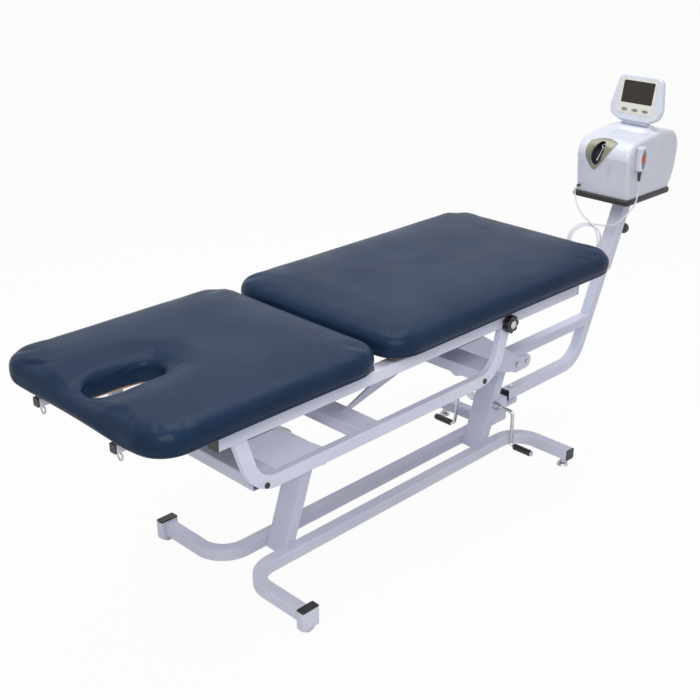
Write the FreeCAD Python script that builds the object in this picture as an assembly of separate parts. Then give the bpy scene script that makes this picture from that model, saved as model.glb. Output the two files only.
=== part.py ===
"""Traction table: crank-raised treatment couch with a gliding lumbar section and a traction unit on a mast.

Millimetres, +Z up. Along the couch X runs from the head end to the foot end, and Y is across it.
The working datum has X = 0 at the middle of the bed rails; finished shapes are moved so that the
origin lies on the floor under the middle of the whole table.
"""
import FreeCAD, Part
import math
import os

Vec = FreeCAD.Vector

# Running and assembly clearances
RUN = 0.05
SEAT = 0.3
SLIDE = 0.3

# Base frame
BASE_TUBE = 38.0
TUBE_WALL = 2.5
TUBE_CORNER = 4.0
BASE_Z = 47.0
BASE_BEND = 90.0
FRONT_LEG_ROW_X = -465.0
REAR_LEG_ROW_X = 765.0
REAR_TUBE_REACH = 288.0
CAP_DEPTH = 4.0
CASTER_Y = 312.0
CASTER_BOX_X = 60.0
CASTER_BOX_Y = 28.0
CASTER_BOX_Z = (16.0, 72.0)
WHEEL_R = 25.0
WHEEL_WIDTH = 18.0
WHEEL_AXLE_R = 4.0
FOOT_Y = 264.0
FOOT_DISC_R = 20.0
FOOT_DISC_H = 8.0
FOOT_STEM_R = 6.0

# Telescoping legs, leaning towards the foot end
LEG_WIDTH = 76.0
LEG_DEPTH = 38.0
LEG_WALL = 3.0
LEG_LEAN = 0.3385
LEG_DATUM_Z = 69.0
FRONT_LEG_X = -276.0
LEG_SPACING = 900.0
LEG_FOOT_Z = 30.0
LEG_TOP_Z = 306.0
LEG_SPARE = 40.0
INNER_FOOT_Z = 76.0
INNER_WALL = 2.5
HEAD_PIVOT_Z = 333.0
HEAD_TUBE_R = 17.0
HEAD_BOLT_R = 6.0
BOLT_HEAD_R = 10.5
BOLT_HEAD_H = 6.0
LIFT_STROKE = 90.0

# Hand cranks and lifting screw in the rear leg
CRANK_Z = 182.0
CRANK_SHAFT_R = 6.0
CRANK_THROW = 126.0
CRANK_ARM_Y = 118.0
CRANK_BEND = 14.0
CRANK_BUSH_R = 14.0
CRANK_BUSH_Y = 60.0
FAR_ARM_ANGLE = 9.0
GRIP_R = 11.0
GRIP_LENGTH = 68.0
GEAR_INNER = 8.0
GEAR_FACE = 5.0
SCREW_R = 7.0
BEARING_THICK = 6.0
NUT_THICK = 14.0
GEARBOX_Y = 34.0
GEARBOX_BACK_X = 738.0
GEARBOX_Z = (100.0, 185.0)
TONGUE_END_X = 819.0
TONGUE_THICK = 8.0

# Cradle under the bed rails
CRADLE_WIDTH = 25.0
CRADLE_OUTSET = 1.5
CRADLE_Z = 486.0
CRADLE_BEND = 90.0
CRADLE_FRONT_X = -600.0
CRADLE_REAR_X = 330.0
RISER_FRONT_SHIFT = -49.0
RISER_REAR_SHIFT = 40.0
SHEET = 3.0
PLUG_R = 8.0
PLUG_STAND = 3.0
PLUG_X = (-573.0, 275.0)
EAR_Y = 80.0
EAR_THICK = 6.0
EAR_END_R = 26.0
EAR_REACH = 338.0
EAR_TOP = 158.0
EAR_FLAT = 186.0
EAR_FACE = 78.0
EAR_HEEL = (322.0, 63.0)
SADDLE_SHARE = 0.7
FRONT_BEAM_WIDTH = 74.0
REAR_BEAM_WIDTH = 90.0
MIDDLE_BEAM_X = (-229.0, -154.0)
BRACE_BAR_Y = (161.0, 167.0)
BRACE_FOOT_WIDTH = 40.0
BRACE_TOP_X = (140.0, 400.0)

# Bed rails and what they carry
RAIL_HALF = 719.0
RAIL_CAP = 4.0
CROSS_X = (-580.0, -320.0)
CROSS_WIDTH = 38.0
REAR_CROSS_HEIGHT = 8.0
TRACK_START = -40.0
TRACK_STOP = 2.0
TRACK_WIDTH = 24.0
TRACK_THICK = 5.0
HEAD_TUBE = 24.0
HEAD_TUBE_Y = 166.0
HEAD_TUBE_X = (-918.0, -250.0)
EYE_X = -904.0
EYE_RING_R = 10.0
EYE_WIRE_R = 2.6
EYE_SHANK = 2.0
BED_TOP = 688.0
RAIL_INSET = 71.0
PAD_THICK = 13.0
PAD_LENGTH = 36.0
PAD_END = 72.0
MIDDLE_PAD_X = (-215.0, 150.0)

# Cushions
CUSHION_WIDTH = 694.0
CUSHION_THICK = 80.0
HEAD_CUSHION_X = (-940.0, -186.0)
LUMBAR_CUSHION_X = (-176.0, 884.0)
CORNER_R = 102.0
SIDE_PULL = 4.0
CUSHION_PROFILE = (
    (0.0, 24.0),
    (0.116, 9.0),
    (0.348, 0.0),
    (0.58, 0.0),
    (0.783, 9.0),
    (0.913, 24.0),
    (0.978, 60.0),
    (1.0, 150.0),
)
BOARD_INSET = 45.0
BOARD_THICK = 10.0
SLOT_HEAD = (-824.0, 56.0)
SLOT_FOOT = (-709.0, 48.0)
SLOT_FLARE = 18.0
SLOT_LIP = 6.0

# Lumbar carriage
CARRIAGE_X = (-60.0, 640.0)
CARRIAGE_INSET = 48.0
CARRIAGE_BAR = 6.0
CARRIAGE_DEPTH = 40.0
STRAP_THICK = 6.0
STRAP_WIDTH = 40.0
ROLLER_X = (40.0, 500.0)
ROLLER_R = 12.0
ROLLER_WIDTH = 15.0
ROLLER_PIN_R = 4.0

# Star knob that locks the lumbar carriage
STAR_X = 363.0
STAR_LIFT = 11.0
STAR_STEM_R = 4.5
STAR_LOBES = 7
STAR_R = 27.0
STAR_LOBE_R = 8.5
STAR_STAND = 40.0
STAR_BODY = 20.0

# Mast
MAST_TUBE = 38.0
MAST_FOOT_X = 770.0
MAST_FOOT_Z = 172.0
MAST_BEND = 105.0
MAST_LEAN = 0.43
MAST_CORNER_X = 1174.6
MAST_TOP_Z = 700.0
BRACE_Z = 325.0
YOKE_REACH = 21.6
YOKE_THICK = 8.0
YOKE_HALF_Z = 25.0
TAB_REACH = 58.6
TAB_BOLT_R = 8.0
SLEEVE_Z = (505.0, 765.0)
SLEEVE_WIDTH = 50.0
SLEEVE_DEPTH = 46.0
SLEEVE_PLATE_X = (-70.0, 60.0)
SLEEVE_PLATE_Y = 55.0
MAST_KNOB_Z = 655.0
MAST_KNOB_R = 20.0
MAST_KNOB_REACH = 22.0
STOP_BOLT_R = 4.0
STOP_BOLT_REACH = 14.0
SHELF_X = (1256.0, 1544.0)
SHELF_Y = 117.0
SHELF_Z = (771.0, 792.0)
SHELF_CORNER = 16.0
SHELF_ROUND = 7.0

# Traction unit: points of its case's side profile, as x and height above the shelf
CASE_FOOT_FRONT = (1268.0, 0.0)
CASE_BROW = (1252.0, 138.0)
CASE_BROW_BEND = (1269.0, 179.0)
CASE_ROOF_FRONT = (1327.0, 201.0)
CASE_ROOF_TOP = (1440.0, 213.0)
CASE_ROOF_BACK = (1545.0, 205.0)
CASE_SHOULDER = (1571.0, 184.0)
CASE_BULGE = (1582.0, 125.0)
CASE_BACK_BEND = (1572.0, 60.0)
CASE_FOOT_BACK = (1541.0, 0.0)
CASE_HALF = 108.0
CASE_ROUND = 15.0
CASE_STEPS = 6
CASE_WALL = 4.0
STRIP_Y = (84.0, -33.0)
STRIP_WIDTH = 14.0
STRIP_Z = (838.0, 903.0)
STRIP_DEPTH = 3.0

# Rope port in the unit's front, as y and height above the shelf
LEAF = (
    (20.0, 98.0),
    (32.0, 90.0),
    (46.0, 101.0),
    (68.0, 146.0),
    (62.0, 188.0),
    (12.0, 198.0),
    (-41.0, 190.0),
    (-17.0, 146.0),
)
PORT_CENTRE = (22.0, 148.0)
PORT_R = (44.0, 23.0)
PORT_TURN = 19.0
PORT_DEPTH = 24.0
PORT_LINING = 2.0
HOOK_X = (1271.5, 1283.5)
BEZEL_STAND = 2.5
DRUM_X = 1425.0
DRUM_Z = 868.0
DRUM_R = 30.0
DRUM_WIDTH = 44.0
DRUM_PIN_R = 6.0
MOTOR_R = 28.0

# Display pod on the unit's neck; its outline is across and up from the hinge
NECK_X = 1450.0
NECK_FOOT = (196.0, 126.0)
NECK_TOP = (136.0, 74.0)
NECK_TOP_Z = 1014.0
HINGE_R = 9.0
HINGE_HALF = 52.0
POD_TILT = 11.0
POD_OUTLINE = ((-88, 163), (88, 163), (109, 48), (99, 20), (62, 1), (-62, 1), (-99, 20), (-109, 48))
POD_ROUNDS = (22.0, 22.0, 30.0, 20.0, 16.0, 16.0, 20.0, 30.0)
POD_MIDDLE = 84.0
POD_SECTIONS = ((0.0, 0.66), (8.0, 0.86), (18.0, 0.96), (29.0, 1.0), (36.0, 0.985), (42.0, 0.93))
PANEL_WIDTH = 148.0
PANEL_HEIGHT = 120.0
PANEL_UP = 88.0
PANEL_CORNER = 16.0
PANEL_THICK = 1.2
SCREEN_WIDTH = 126.0
SCREEN_HEIGHT = 78.0
SCREEN_UP = 104.0
SCREEN_THICK = 3.0
BUTTON_UP = 42.0
BUTTON_STEP = 42.0
BUTTON_R = (12.0, 5.0)
BUTTON_THICK = 4.0
BUTTON_TRAVEL = 1.5

# Hand switch on the near side of the unit, and its lead
SWITCH_X = 1310.0
SWITCH_Y = -121.0
SWITCH_Z = (892.0, 980.0)
SWITCH_WIDTH = 34.0
SWITCH_DEPTH = 24.0
SWITCH_ROUND = 9.0
STOP_Z = 938.0
STOP_R = (14.0, 8.0)
STOP_THICK = 5.0
RELIEF_LENGTH = 34.0
LEAD_R = 2.5
PLUG_TIP = (1248.0, 91.0, 811.0)
PLUG_BODY_R = 5.0
COIL_CENTRE = (1238.0, 32.0, 622.0)
COIL_ACROSS = (0.709, -0.705)
COIL_R = (46.0, 60.0)
COIL_PITCH = 8.0
COIL_START = 20.0
COIL_TURNS = 3 + 290.0 / 360.0
COIL_ENTRY = 42.0
UPPER_LEAD = ((1234.0, 91.0, 811.0), (1233.0, 86.0, 782.0), (1227.0, 70.0, 750.0), (1226.0, 46.0, 718.0))
LOWER_LEAD = (
    (1276.0, 10.0, 677.0),
    (1274.0, -22.0, 680.0),
    (1262.0, -60.0, 692.0),
    (1257.0, -93.0, 714.0),
    (1270.0, -115.0, 745.0),
    (1298.0, -126.0, 778.0),
    (1310.0, -123.0, 818.0),
)

# Values that follow from the sizes above
LEG_TILT = math.atan(LEG_LEAN)
LEG_DIR = Vec(math.sin(LEG_TILT), 0, math.cos(LEG_TILT))
LEG_BACK = Vec(math.cos(LEG_TILT), 0, -math.sin(LEG_TILT))
REAR_LEG_X = FRONT_LEG_X + LEG_SPACING
BASE_RAIL_Y = LEG_WIDTH / 2 + BASE_TUBE / 2
REAR_PIVOT_X = REAR_LEG_X + LEG_LEAN * (HEAD_PIVOT_Z - LEG_DATUM_Z)
YOKE_X = REAR_PIVOT_X + YOKE_REACH
TAB_X = REAR_PIVOT_X + TAB_REACH
MAST_TILT = math.atan(MAST_LEAN)
MAST_DIR = Vec(math.sin(MAST_TILT), 0, math.cos(MAST_TILT))
MAST_BACK = Vec(math.cos(MAST_TILT), 0, -math.sin(MAST_TILT))
CASE_Z = SHELF_Z[1]
RAIL_Y = CUSHION_WIDTH / 2 - RAIL_INSET
RAIL_Z = (BED_TOP - PAD_THICK - BASE_TUBE, BED_TOP - PAD_THICK)
CRADLE_Y = RAIL_Y + CRADLE_OUTSET
TRACK_X = (TRACK_START, RAIL_HALF - CROSS_WIDTH - TRACK_STOP)
TRACK_Z = (RAIL_Z[0], RAIL_Z[0] + TRACK_THICK)
TRACK_INSIDE = RAIL_Y - BASE_TUBE / 2 - TRACK_WIDTH
PAD_X = (PAD_END - RAIL_HALF, *MIDDLE_PAD_X, RAIL_HALF - PAD_END)
CARRIAGE_Y = RAIL_Y - CARRIAGE_INSET
CARRIAGE_Z = BED_TOP - CARRIAGE_DEPTH
STAR_Z = RAIL_Z[0] + STAR_LIFT
STAR_FACE_Y = RAIL_Y + STAR_STAND
ACROSS = Vec(0, 1, 0)
UP = Vec(0, 0, 1)
ALONG = Vec(1, 0, 0)


def box(x, y, z):
    """Block between the two limits given for each axis."""
    size = [span[1] - span[0] for span in (x, y, z)]
    return Part.makeBox(size[0], size[1], size[2], Vec(x[0], y[0], z[0]))


def rod(start, end, radius):
    """Round bar from one point to another."""
    axis = end - start
    return Part.makeCylinder(radius, axis.Length, start, axis)


def ring(start, end, outer, inner):
    """Round sleeve from one point to another."""
    return rod(start, end, outer).cut(rod(start, end, inner))


def slab(points, y):
    """Plate with an outline in the X-Z plane, between two Y limits."""
    loop = [Vec(px, y[0], pz) for px, pz in points]
    face = Part.Face(Part.makePolygon(loop + loop[:1]))
    return face.extrude(Vec(0, y[1] - y[0], 0))


def hexagon(start, direction, radius, height):
    """Hexagonal bolt head standing on a point."""
    head = Part.makeCylinder(radius, height, start, direction)
    turn = FreeCAD.Rotation(UP, direction)
    for step in range(6):
        cutter = Part.makeBox(radius, 2 * radius, height + 2)
        cutter.translate(Vec(radius * math.cos(math.pi / 6), -radius, -1))
        cutter.rotate(Vec(0, 0, 0), UP, 60 * step)
        cutter.Placement = FreeCAD.Placement(start, turn).multiply(cutter.Placement)
        head = head.cut(cutter)
    return head


def rounded_frame(centre, first, second, width, height, corner):
    """Closed wire of a rounded rectangle, spanned by two unit directions."""
    a = width / 2
    b = height / 2
    edges = []
    corners = ((1, 1), (-1, 1), (-1, -1), (1, -1))
    last = None
    first_point = None
    for index, (sx, sy) in enumerate(corners):
        start_along = index % 2 == 1
        hub = centre + first * (sx * (a - corner)) + second * (sy * (b - corner))
        out_a = first * (sx * corner)
        out_b = second * (sy * corner)
        begin = hub + (out_b if start_along else out_a)
        finish = hub + (out_a if start_along else out_b)
        middle = hub + (out_a + out_b) * math.sqrt(0.5)
        if last is not None:
            edges.append(Part.LineSegment(last, begin).toShape())
        else:
            first_point = begin
        edges.append(Part.Arc(begin, middle, finish).toShape())
        last = finish
    edges.append(Part.LineSegment(last, first_point).toShape())
    return Part.Wire(edges)


def path(points, radii):
    """Wire of straight runs joined by tangent arcs of the given radii."""
    edges = []
    start = points[0]
    for before, corner, after, radius in zip(points, points[1:], points[2:], radii):
        enter = (corner - before).normalize()
        leave = (after - corner).normalize()
        turn = enter.getAngle(leave)
        reach = radius * math.tan(turn / 2)
        arc_in = corner - enter * reach
        arc_out = corner + leave * reach
        inward = (leave - enter).normalize()
        depth = radius / math.cos(turn / 2) - radius
        edges.append(Part.LineSegment(start, arc_in).toShape())
        edges.append(Part.Arc(arc_in, corner + inward * depth, arc_out).toShape())
        start = arc_out
    edges.append(Part.LineSegment(start, points[-1]).toShape())
    return Part.Wire(edges)


def swept(points, radius, normal, width, height, corner):
    """Bar of rounded rectangular section along a bent route; width lies along the route plane's normal."""
    heading = (points[1] - points[0]).normalize()
    side = heading.cross(normal)
    frame = rounded_frame(points[0], normal, side, width, height, corner)
    spine = path(points, [radius] * (len(points) - 2))
    return Part.Wire(spine.Edges).makePipeShell([frame], True, False)


def bent_tube(points, radius, normal, width, height, wall=TUBE_WALL):
    """Hollow rectangular tube along a bent route."""
    outer = swept(points, radius, normal, width, height, TUBE_CORNER)
    inner = swept(points, radius, normal, width - 2 * wall, height - 2 * wall, TUBE_CORNER - wall)
    return outer.cut(inner)


def straight_tube(start, direction, length, first, second, width, height, wall, corner=TUBE_CORNER):
    """Hollow straight tube of rounded rectangular section."""
    rim = rounded_frame(start, first, second, width, height, corner)
    outer = Part.Face(rim).extrude(direction * length)
    bore = rounded_frame(start, first, second, width - 2 * wall, height - 2 * wall, max(corner - wall, 0.5))
    return outer.cut(Part.Face(bore).extrude(direction * length))


def leg_point(leg_x, z):
    """Point of a leg's centre line at a height."""
    return Vec(leg_x + LEG_LEAN * (z - LEG_DATUM_Z), 0, z)


def mast_point(z):
    """Point of the mast's centre line at a height."""
    return Vec(MAST_CORNER_X + MAST_LEAN * (z - MAST_FOOT_Z), 0, z)


def both_sides(make):
    """Near and far copies of a piece, as one group."""
    return Part.makeCompound([make(-1), make(1)])


def middle_x():
    """Middle of the whole table's length, from the head cushion to the back of the unit's case."""
    return (HEAD_CUSHION_X[0] + case_profile(0, 0).BoundBox.XMax) / 2


def put(name, shape):
    """Move a finished piece to the table's frame and write it."""
    shape = shape.copy()
    shape.translate(Vec(-middle_x(), 0, 0))
    if not shape.isValid():
        print("invalid", name)
    print(name, len(shape.Solids), round(shape.Volume / 1000, 1))
    shape.exportStep("parts/" + name + ".step")


def base_rail(side):
    """One of the two long base tubes, bent outwards at both ends."""
    inner_face = CASTER_Y - CASTER_BOX_Y / 2
    points = [
        Vec(FRONT_LEG_ROW_X, side * inner_face, BASE_Z),
        Vec(FRONT_LEG_ROW_X, side * BASE_RAIL_Y, BASE_Z),
        Vec(REAR_LEG_ROW_X, side * BASE_RAIL_Y, BASE_Z),
        Vec(REAR_LEG_ROW_X, side * REAR_TUBE_REACH, BASE_Z),
    ]
    rail = bent_tube(points, BASE_BEND, UP, BASE_TUBE, BASE_TUBE)
    low = Vec(REAR_LEG_ROW_X, side * FOOT_Y, BASE_Z - BASE_TUBE)
    return rail.cut(rod(low, low + UP * BASE_TUBE, FOOT_STEM_R + RUN))


def caster_box(side):
    """Upright box that hides a front wheel."""
    centre = Vec(FRONT_LEG_ROW_X, side * CASTER_Y, CASTER_BOX_Z[0])
    height = CASTER_BOX_Z[1] - CASTER_BOX_Z[0]
    shell = straight_tube(centre, UP, height, ALONG, ACROSS, CASTER_BOX_X, CASTER_BOX_Y, TUBE_WALL)
    return shell.cut(rod(*axle_ends(side), WHEEL_AXLE_R + RUN))


def axle_ends(side):
    """Two ends of a front wheel's axle."""
    half = CASTER_BOX_Y / 2
    return [Vec(FRONT_LEG_ROW_X, side * CASTER_Y + step, WHEEL_R) for step in (-half, half)]


def caster_cap(side):
    """Domed black lid on a wheel box."""
    centre = Vec(FRONT_LEG_ROW_X, side * CASTER_Y, CASTER_BOX_Z[1])
    frame = rounded_frame(centre, ALONG, ACROSS, CASTER_BOX_X, CASTER_BOX_Y, TUBE_CORNER)
    lid = Part.Face(frame).extrude(UP * CAP_DEPTH)
    top = [edge for edge in lid.Edges if edge.BoundBox.ZMin > centre.z + CAP_DEPTH - 0.01]
    return lid.makeChamfer(CAP_DEPTH / 3, top)


def wheel(side):
    """Front wheel with a grooved tread and a hub."""
    centre = Vec(FRONT_LEG_ROW_X, side * CASTER_Y, WHEEL_R)
    half = ACROSS * (WHEEL_WIDTH / 2)
    disc = rod(centre - half, centre + half, WHEEL_R)
    rims = [edge for edge in disc.Edges if abs(edge.Length - 2 * math.pi * WHEEL_R) < 0.1]
    disc = disc.makeFillet(2.0, rims)
    recess = WHEEL_R * 0.6
    for sign in (-1, 1):
        face = centre + half * sign
        disc = disc.cut(ring(face, face - half * (sign * 0.3), recess, WHEEL_AXLE_R * 2))
    return disc.cut(rod(centre - half, centre + half, WHEEL_AXLE_R + RUN))


def leveller(side):
    """Levelling foot: disc, neck and threaded stem."""
    floor = Vec(REAR_LEG_ROW_X, side * FOOT_Y, 0)
    disc = Part.makeCone(FOOT_DISC_R, FOOT_DISC_R * 0.8, FOOT_DISC_H, floor)
    stem = rod(floor + UP * FOOT_DISC_H, floor + UP * (BASE_Z + 4), FOOT_STEM_R)
    nut_z = FOOT_DISC_H + 2
    nut = hexagon(floor + UP * nut_z, UP, FOOT_STEM_R * 1.7, 6)
    return disc.fuse([stem, nut]).removeSplitter()


def rear_cap(side):
    """Black plug in the end of a rear base tube."""
    face = Vec(REAR_LEG_ROW_X, side * REAR_TUBE_REACH, BASE_Z)
    frame = rounded_frame(face, ALONG, UP, BASE_TUBE, BASE_TUBE, TUBE_CORNER)
    return Part.Face(frame).extrude(ACROSS * (side * CAP_DEPTH))


def outer_leg(leg_x):
    """Fixed outer leg between the base rails."""
    below = leg_point(leg_x, LEG_FOOT_Z - LEG_SPARE)
    length = (LEG_TOP_Z - LEG_FOOT_Z + 2 * LEG_SPARE) / math.cos(LEG_TILT)
    tube = straight_tube(below, LEG_DIR, length, ACROSS, LEG_BACK, LEG_WIDTH, LEG_DEPTH, LEG_WALL, 3.0)
    reach = LEG_TOP_Z
    keep = box((leg_x - reach, leg_x + reach), (-reach, reach), (LEG_FOOT_Z, LEG_TOP_Z))
    return tube.common(keep)


def inner_leg(leg_x, half):
    """Sliding inner leg with the cross tube at its head, of a half width, that the ears bolt to."""
    below = leg_point(leg_x, INNER_FOOT_Z - LEG_SPARE)
    length = (HEAD_PIVOT_Z - INNER_FOOT_Z + 2 * LEG_SPARE) / math.cos(LEG_TILT)
    width = LEG_WIDTH - 2 * LEG_WALL - 2 * SLIDE
    depth = LEG_DEPTH - 2 * LEG_WALL - 2 * SLIDE
    tube = straight_tube(below, LEG_DIR, length, ACROSS, LEG_BACK, width, depth, INNER_WALL, 2.8)
    reach = HEAD_PIVOT_Z
    keep = box((leg_x - reach, leg_x + reach), (-reach, reach), (INNER_FOOT_Z, HEAD_PIVOT_Z))
    pivot = leg_point(leg_x, HEAD_PIVOT_Z)
    ends = [pivot + ACROSS * (sign * half) for sign in (-1, 1)]
    head = rod(*ends, HEAD_TUBE_R)
    body = tube.common(keep).cut(rod(*ends, HEAD_TUBE_R)).fuse(head)
    return body.cut(rod(*ends, HEAD_BOLT_R + RUN)).removeSplitter()


def crank_centre():
    """Where the crank shaft crosses the rear leg's centre line."""
    return leg_point(REAR_LEG_X, CRANK_Z)


def crank_slot():
    """Slot that lets the inner rear leg pass the crank shaft and its gears."""
    centre = crank_centre()
    top = GEAR_INNER + GEAR_FACE + 2 * BEARING_THICK
    width = 2 * (GEAR_INNER + GEAR_FACE) - 4
    start = centre - LEG_DIR * CRANK_Z
    frame = rounded_frame(start, ACROSS, LEG_BACK, 2 * LEG_WIDTH, width, 1.0)
    return Part.Face(frame).extrude(LEG_DIR * (CRANK_Z + top))


def lift_nut():
    """Nut block in the inner rear leg."""
    base = crank_centre() + LEG_DIR * (GEAR_INNER + GEAR_FACE + 2 * BEARING_THICK + 1)
    width = LEG_WIDTH - 2 * LEG_WALL - 2 * SLIDE - 2 * INNER_WALL
    depth = LEG_DEPTH - 2 * LEG_WALL - 2 * SLIDE - 2 * INNER_WALL
    block = Part.Face(rounded_frame(base, ACROSS, LEG_BACK, width, depth, 0.5)).extrude(LEG_DIR * NUT_THICK)
    return block.cut(rod(base, base + LEG_DIR * NUT_THICK, SCREW_R + SEAT))


def screw_bearing():
    """Plate across the rear leg that carries the lifting screw."""
    base = crank_centre() + LEG_DIR * (GEAR_INNER + GEAR_FACE + SEAT)
    width = LEG_WIDTH - 2 * LEG_WALL
    depth = 2 * (GEAR_INNER + GEAR_FACE) - 6
    frame = rounded_frame(base, ACROSS, LEG_BACK, width, depth, 1.0)
    plate = Part.Face(frame).extrude(LEG_DIR * BEARING_THICK)
    return plate.cut(rod(base, base + LEG_DIR * BEARING_THICK, SCREW_R + RUN))


def mitre_gear(direction):
    """Pitch cone of one of the two equal mitre gears, with its face away from the crossing."""
    start = crank_centre() + direction * GEAR_INNER
    small = GEAR_INNER - SEAT
    return Part.makeCone(small, small + GEAR_FACE, GEAR_FACE, start, direction)


def lift_screw():
    """Lifting screw standing on its gear, up inside the inner leg."""
    start = crank_centre() + LEG_DIR * (GEAR_INNER + GEAR_FACE)
    climb = 2 * BEARING_THICK + NUT_THICK + LIFT_STROKE + 4
    return rod(start, start + LEG_DIR * climb, SCREW_R)


def crank_arm(side, angle):
    """Turn of the crank from the shaft end to the tip of the grip pin, as route points."""
    centre = crank_centre()
    swing = math.radians(angle)
    down = Vec(-math.sin(swing), 0, -math.cos(swing))
    elbow = centre + ACROSS * (side * CRANK_ARM_Y)
    tip = elbow + down * CRANK_THROW
    return [elbow, tip, tip + ACROSS * (side * (CRANK_BEND + GRIP_LENGTH + 3))]


def crank_bar():
    """Shaft and both cranked arms, bent from one round bar, with end washers."""
    near = crank_arm(-1, 0)
    far = crank_arm(1, FAR_ARM_ANGLE)
    points = near[::-1] + far
    spine = path(points, [CRANK_BEND] * 4)
    start = points[0]
    heading = points[1] - points[0]
    section = Part.Wire(Part.makeCircle(CRANK_SHAFT_R, start, heading))
    bar = spine.makePipeShell([section], True, False)
    washers = [rod(near[2], near[2] - ACROSS * 3, 9.0), rod(far[2], far[2] + ACROSS * 3, 9.0)]
    collars = []
    for side in (-1, 1):
        inside = crank_centre() + ACROSS * (side * (CRANK_BUSH_Y + SEAT))
        collars.append(rod(inside, inside + ACROSS * (side * 12), CRANK_SHAFT_R * 1.8))
    return bar.fuse(washers + collars).removeSplitter()


def crank_grip(side, angle):
    """Black handgrip that turns on a crank's pin."""
    tip = crank_arm(side, angle)[1]
    start = tip + ACROSS * (side * (CRANK_BEND + 1))
    end = start + ACROSS * (side * GRIP_LENGTH)
    grip = rod(start, end, GRIP_R)
    grip = grip.makeFillet(2.0, [edge for edge in grip.Edges if edge.Closed])
    return grip.cut(rod(start, end, CRANK_SHAFT_R + RUN))


def crank_bush(side):
    """Bush on the side of the rear leg that carries the crank shaft."""
    inside = crank_centre() + ACROSS * (side * LEG_WIDTH / 2)
    outside = crank_centre() + ACROSS * (side * CRANK_BUSH_Y)
    return ring(inside, outside, CRANK_BUSH_R, CRANK_SHAFT_R + RUN)


def gear_housing():
    """Cover on the back of the rear leg, with the rounded plate that the mast's foot rests on."""
    shift = LEG_DEPTH / 2 / math.cos(LEG_TILT)
    feet = [(leg_point(REAR_LEG_X, z).x + shift, z) for z in GEARBOX_Z]
    outline = [feet[0], (GEARBOX_BACK_X, GEARBOX_Z[0]), (GEARBOX_BACK_X, GEARBOX_Z[1]), feet[1]]
    cover = slab(outline, (-GEARBOX_Y, GEARBOX_Y))
    wall = TUBE_WALL
    inner = [
        (feet[0][0] - 1, GEARBOX_Z[0] + wall),
        (GEARBOX_BACK_X - wall, GEARBOX_Z[0] + wall),
        (GEARBOX_BACK_X - wall, GEARBOX_Z[1] - wall),
        (feet[1][0] - 1, GEARBOX_Z[1] - wall),
    ]
    cover = cover.cut(slab(inner, (wall - GEARBOX_Y, GEARBOX_Y - wall)))
    top = MAST_FOOT_Z - MAST_TUBE / 2 - SEAT
    round_x = TONGUE_END_X - GEARBOX_Y
    tongue = box((GEARBOX_BACK_X, round_x), (-GEARBOX_Y, GEARBOX_Y), (top - TONGUE_THICK, top))
    nose = rod(Vec(round_x, 0, top - TONGUE_THICK), Vec(round_x, 0, top), GEARBOX_Y)
    return cover.fuse([tongue, nose]).removeSplitter()


def make_base():
    """Base frame, legs, wheels and feet."""
    for name, side in (("near", -1), ("far", 1)):
        put("base_rail_" + name, base_rail(side))
        put("caster_wheel_" + name, wheel(side))
        put("levelling_foot_" + name, leveller(side))
    put("caster_boxes", both_sides(caster_box))
    put("caster_axles", both_sides(lambda side: rod(*axle_ends(side), WHEEL_AXLE_R)))
    put("base_caps", Part.makeCompound([make(side) for make in (caster_cap, rear_cap) for side in (-1, 1)]))
    bore = [crank_centre() + ACROSS * (side * LEG_WIDTH) for side in (-1, 1)]
    rear = outer_leg(REAR_LEG_X).cut(rod(*bore, CRANK_SHAFT_R + 1))
    put("legs", Part.makeCompound([outer_leg(FRONT_LEG_X), rear]))
    put("gear_housing", gear_housing())
    put("crank_bearings", Part.makeCompound([crank_bush(-1), crank_bush(1), screw_bearing()]))


def make_lift():
    """Hand cranks, mitre gears, lifting screw and inner legs."""
    put("crank_bar", crank_bar().fuse(mitre_gear(-ACROSS)).removeSplitter())
    put("crank_grip_near", crank_grip(-1, 0))
    put("crank_grip_far", crank_grip(1, FAR_ARM_ANGLE))
    put("lift_screw", lift_screw().fuse(mitre_gear(LEG_DIR)).removeSplitter())
    rear = inner_leg(REAR_LEG_X, EAR_Y - YOKE_THICK).cut(crank_slot()).fuse(lift_nut()).removeSplitter()
    put("inner_legs", Part.makeCompound([inner_leg(FRONT_LEG_X, EAR_Y), rear]))


def cradle_route():
    """Corner points of a cradle tube in its own X-Z plane."""
    top = RAIL_Z[0]
    extra = 1.2
    rise = (top - CRADLE_Z) * extra
    return [
        (CRADLE_FRONT_X + RISER_FRONT_SHIFT * extra, CRADLE_Z + rise),
        (CRADLE_FRONT_X, CRADLE_Z),
        (CRADLE_REAR_X, CRADLE_Z),
        (CRADLE_REAR_X + RISER_REAR_SHIFT * extra, CRADLE_Z + rise),
    ]


def cradle(side):
    """Bent cradle tube that stands under a bed rail."""
    points = [Vec(px, side * CRADLE_Y, pz) for px, pz in cradle_route()]
    tube = bent_tube(points, CRADLE_BEND, ACROSS, CRADLE_WIDTH, BASE_TUBE)
    reach = 2 * RAIL_HALF
    return tube.common(box((-reach, reach), (-reach, reach), (0, RAIL_Z[0])))


def tangent_point(point, centre, radius, turn):
    """Where a line from a point touches a circle in the X-Z plane."""
    dx = point[0] - centre[0]
    dz = point[1] - centre[1]
    angle = math.atan2(dz, dx) + turn * math.acos(radius / math.hypot(dx, dz))
    return (centre[0] + radius * math.cos(angle), centre[1] + radius * math.sin(angle))


def ear_corner(leg_x):
    """Corner where an ear's flat top turns down, and where that slope meets the ear's round end."""
    pivot = leg_point(leg_x, HEAD_PIVOT_Z)
    corner = (pivot.x - EAR_FLAT, pivot.z + EAR_TOP)
    return corner, tangent_point(corner, (pivot.x, pivot.z), EAR_END_R, -1)


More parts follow.
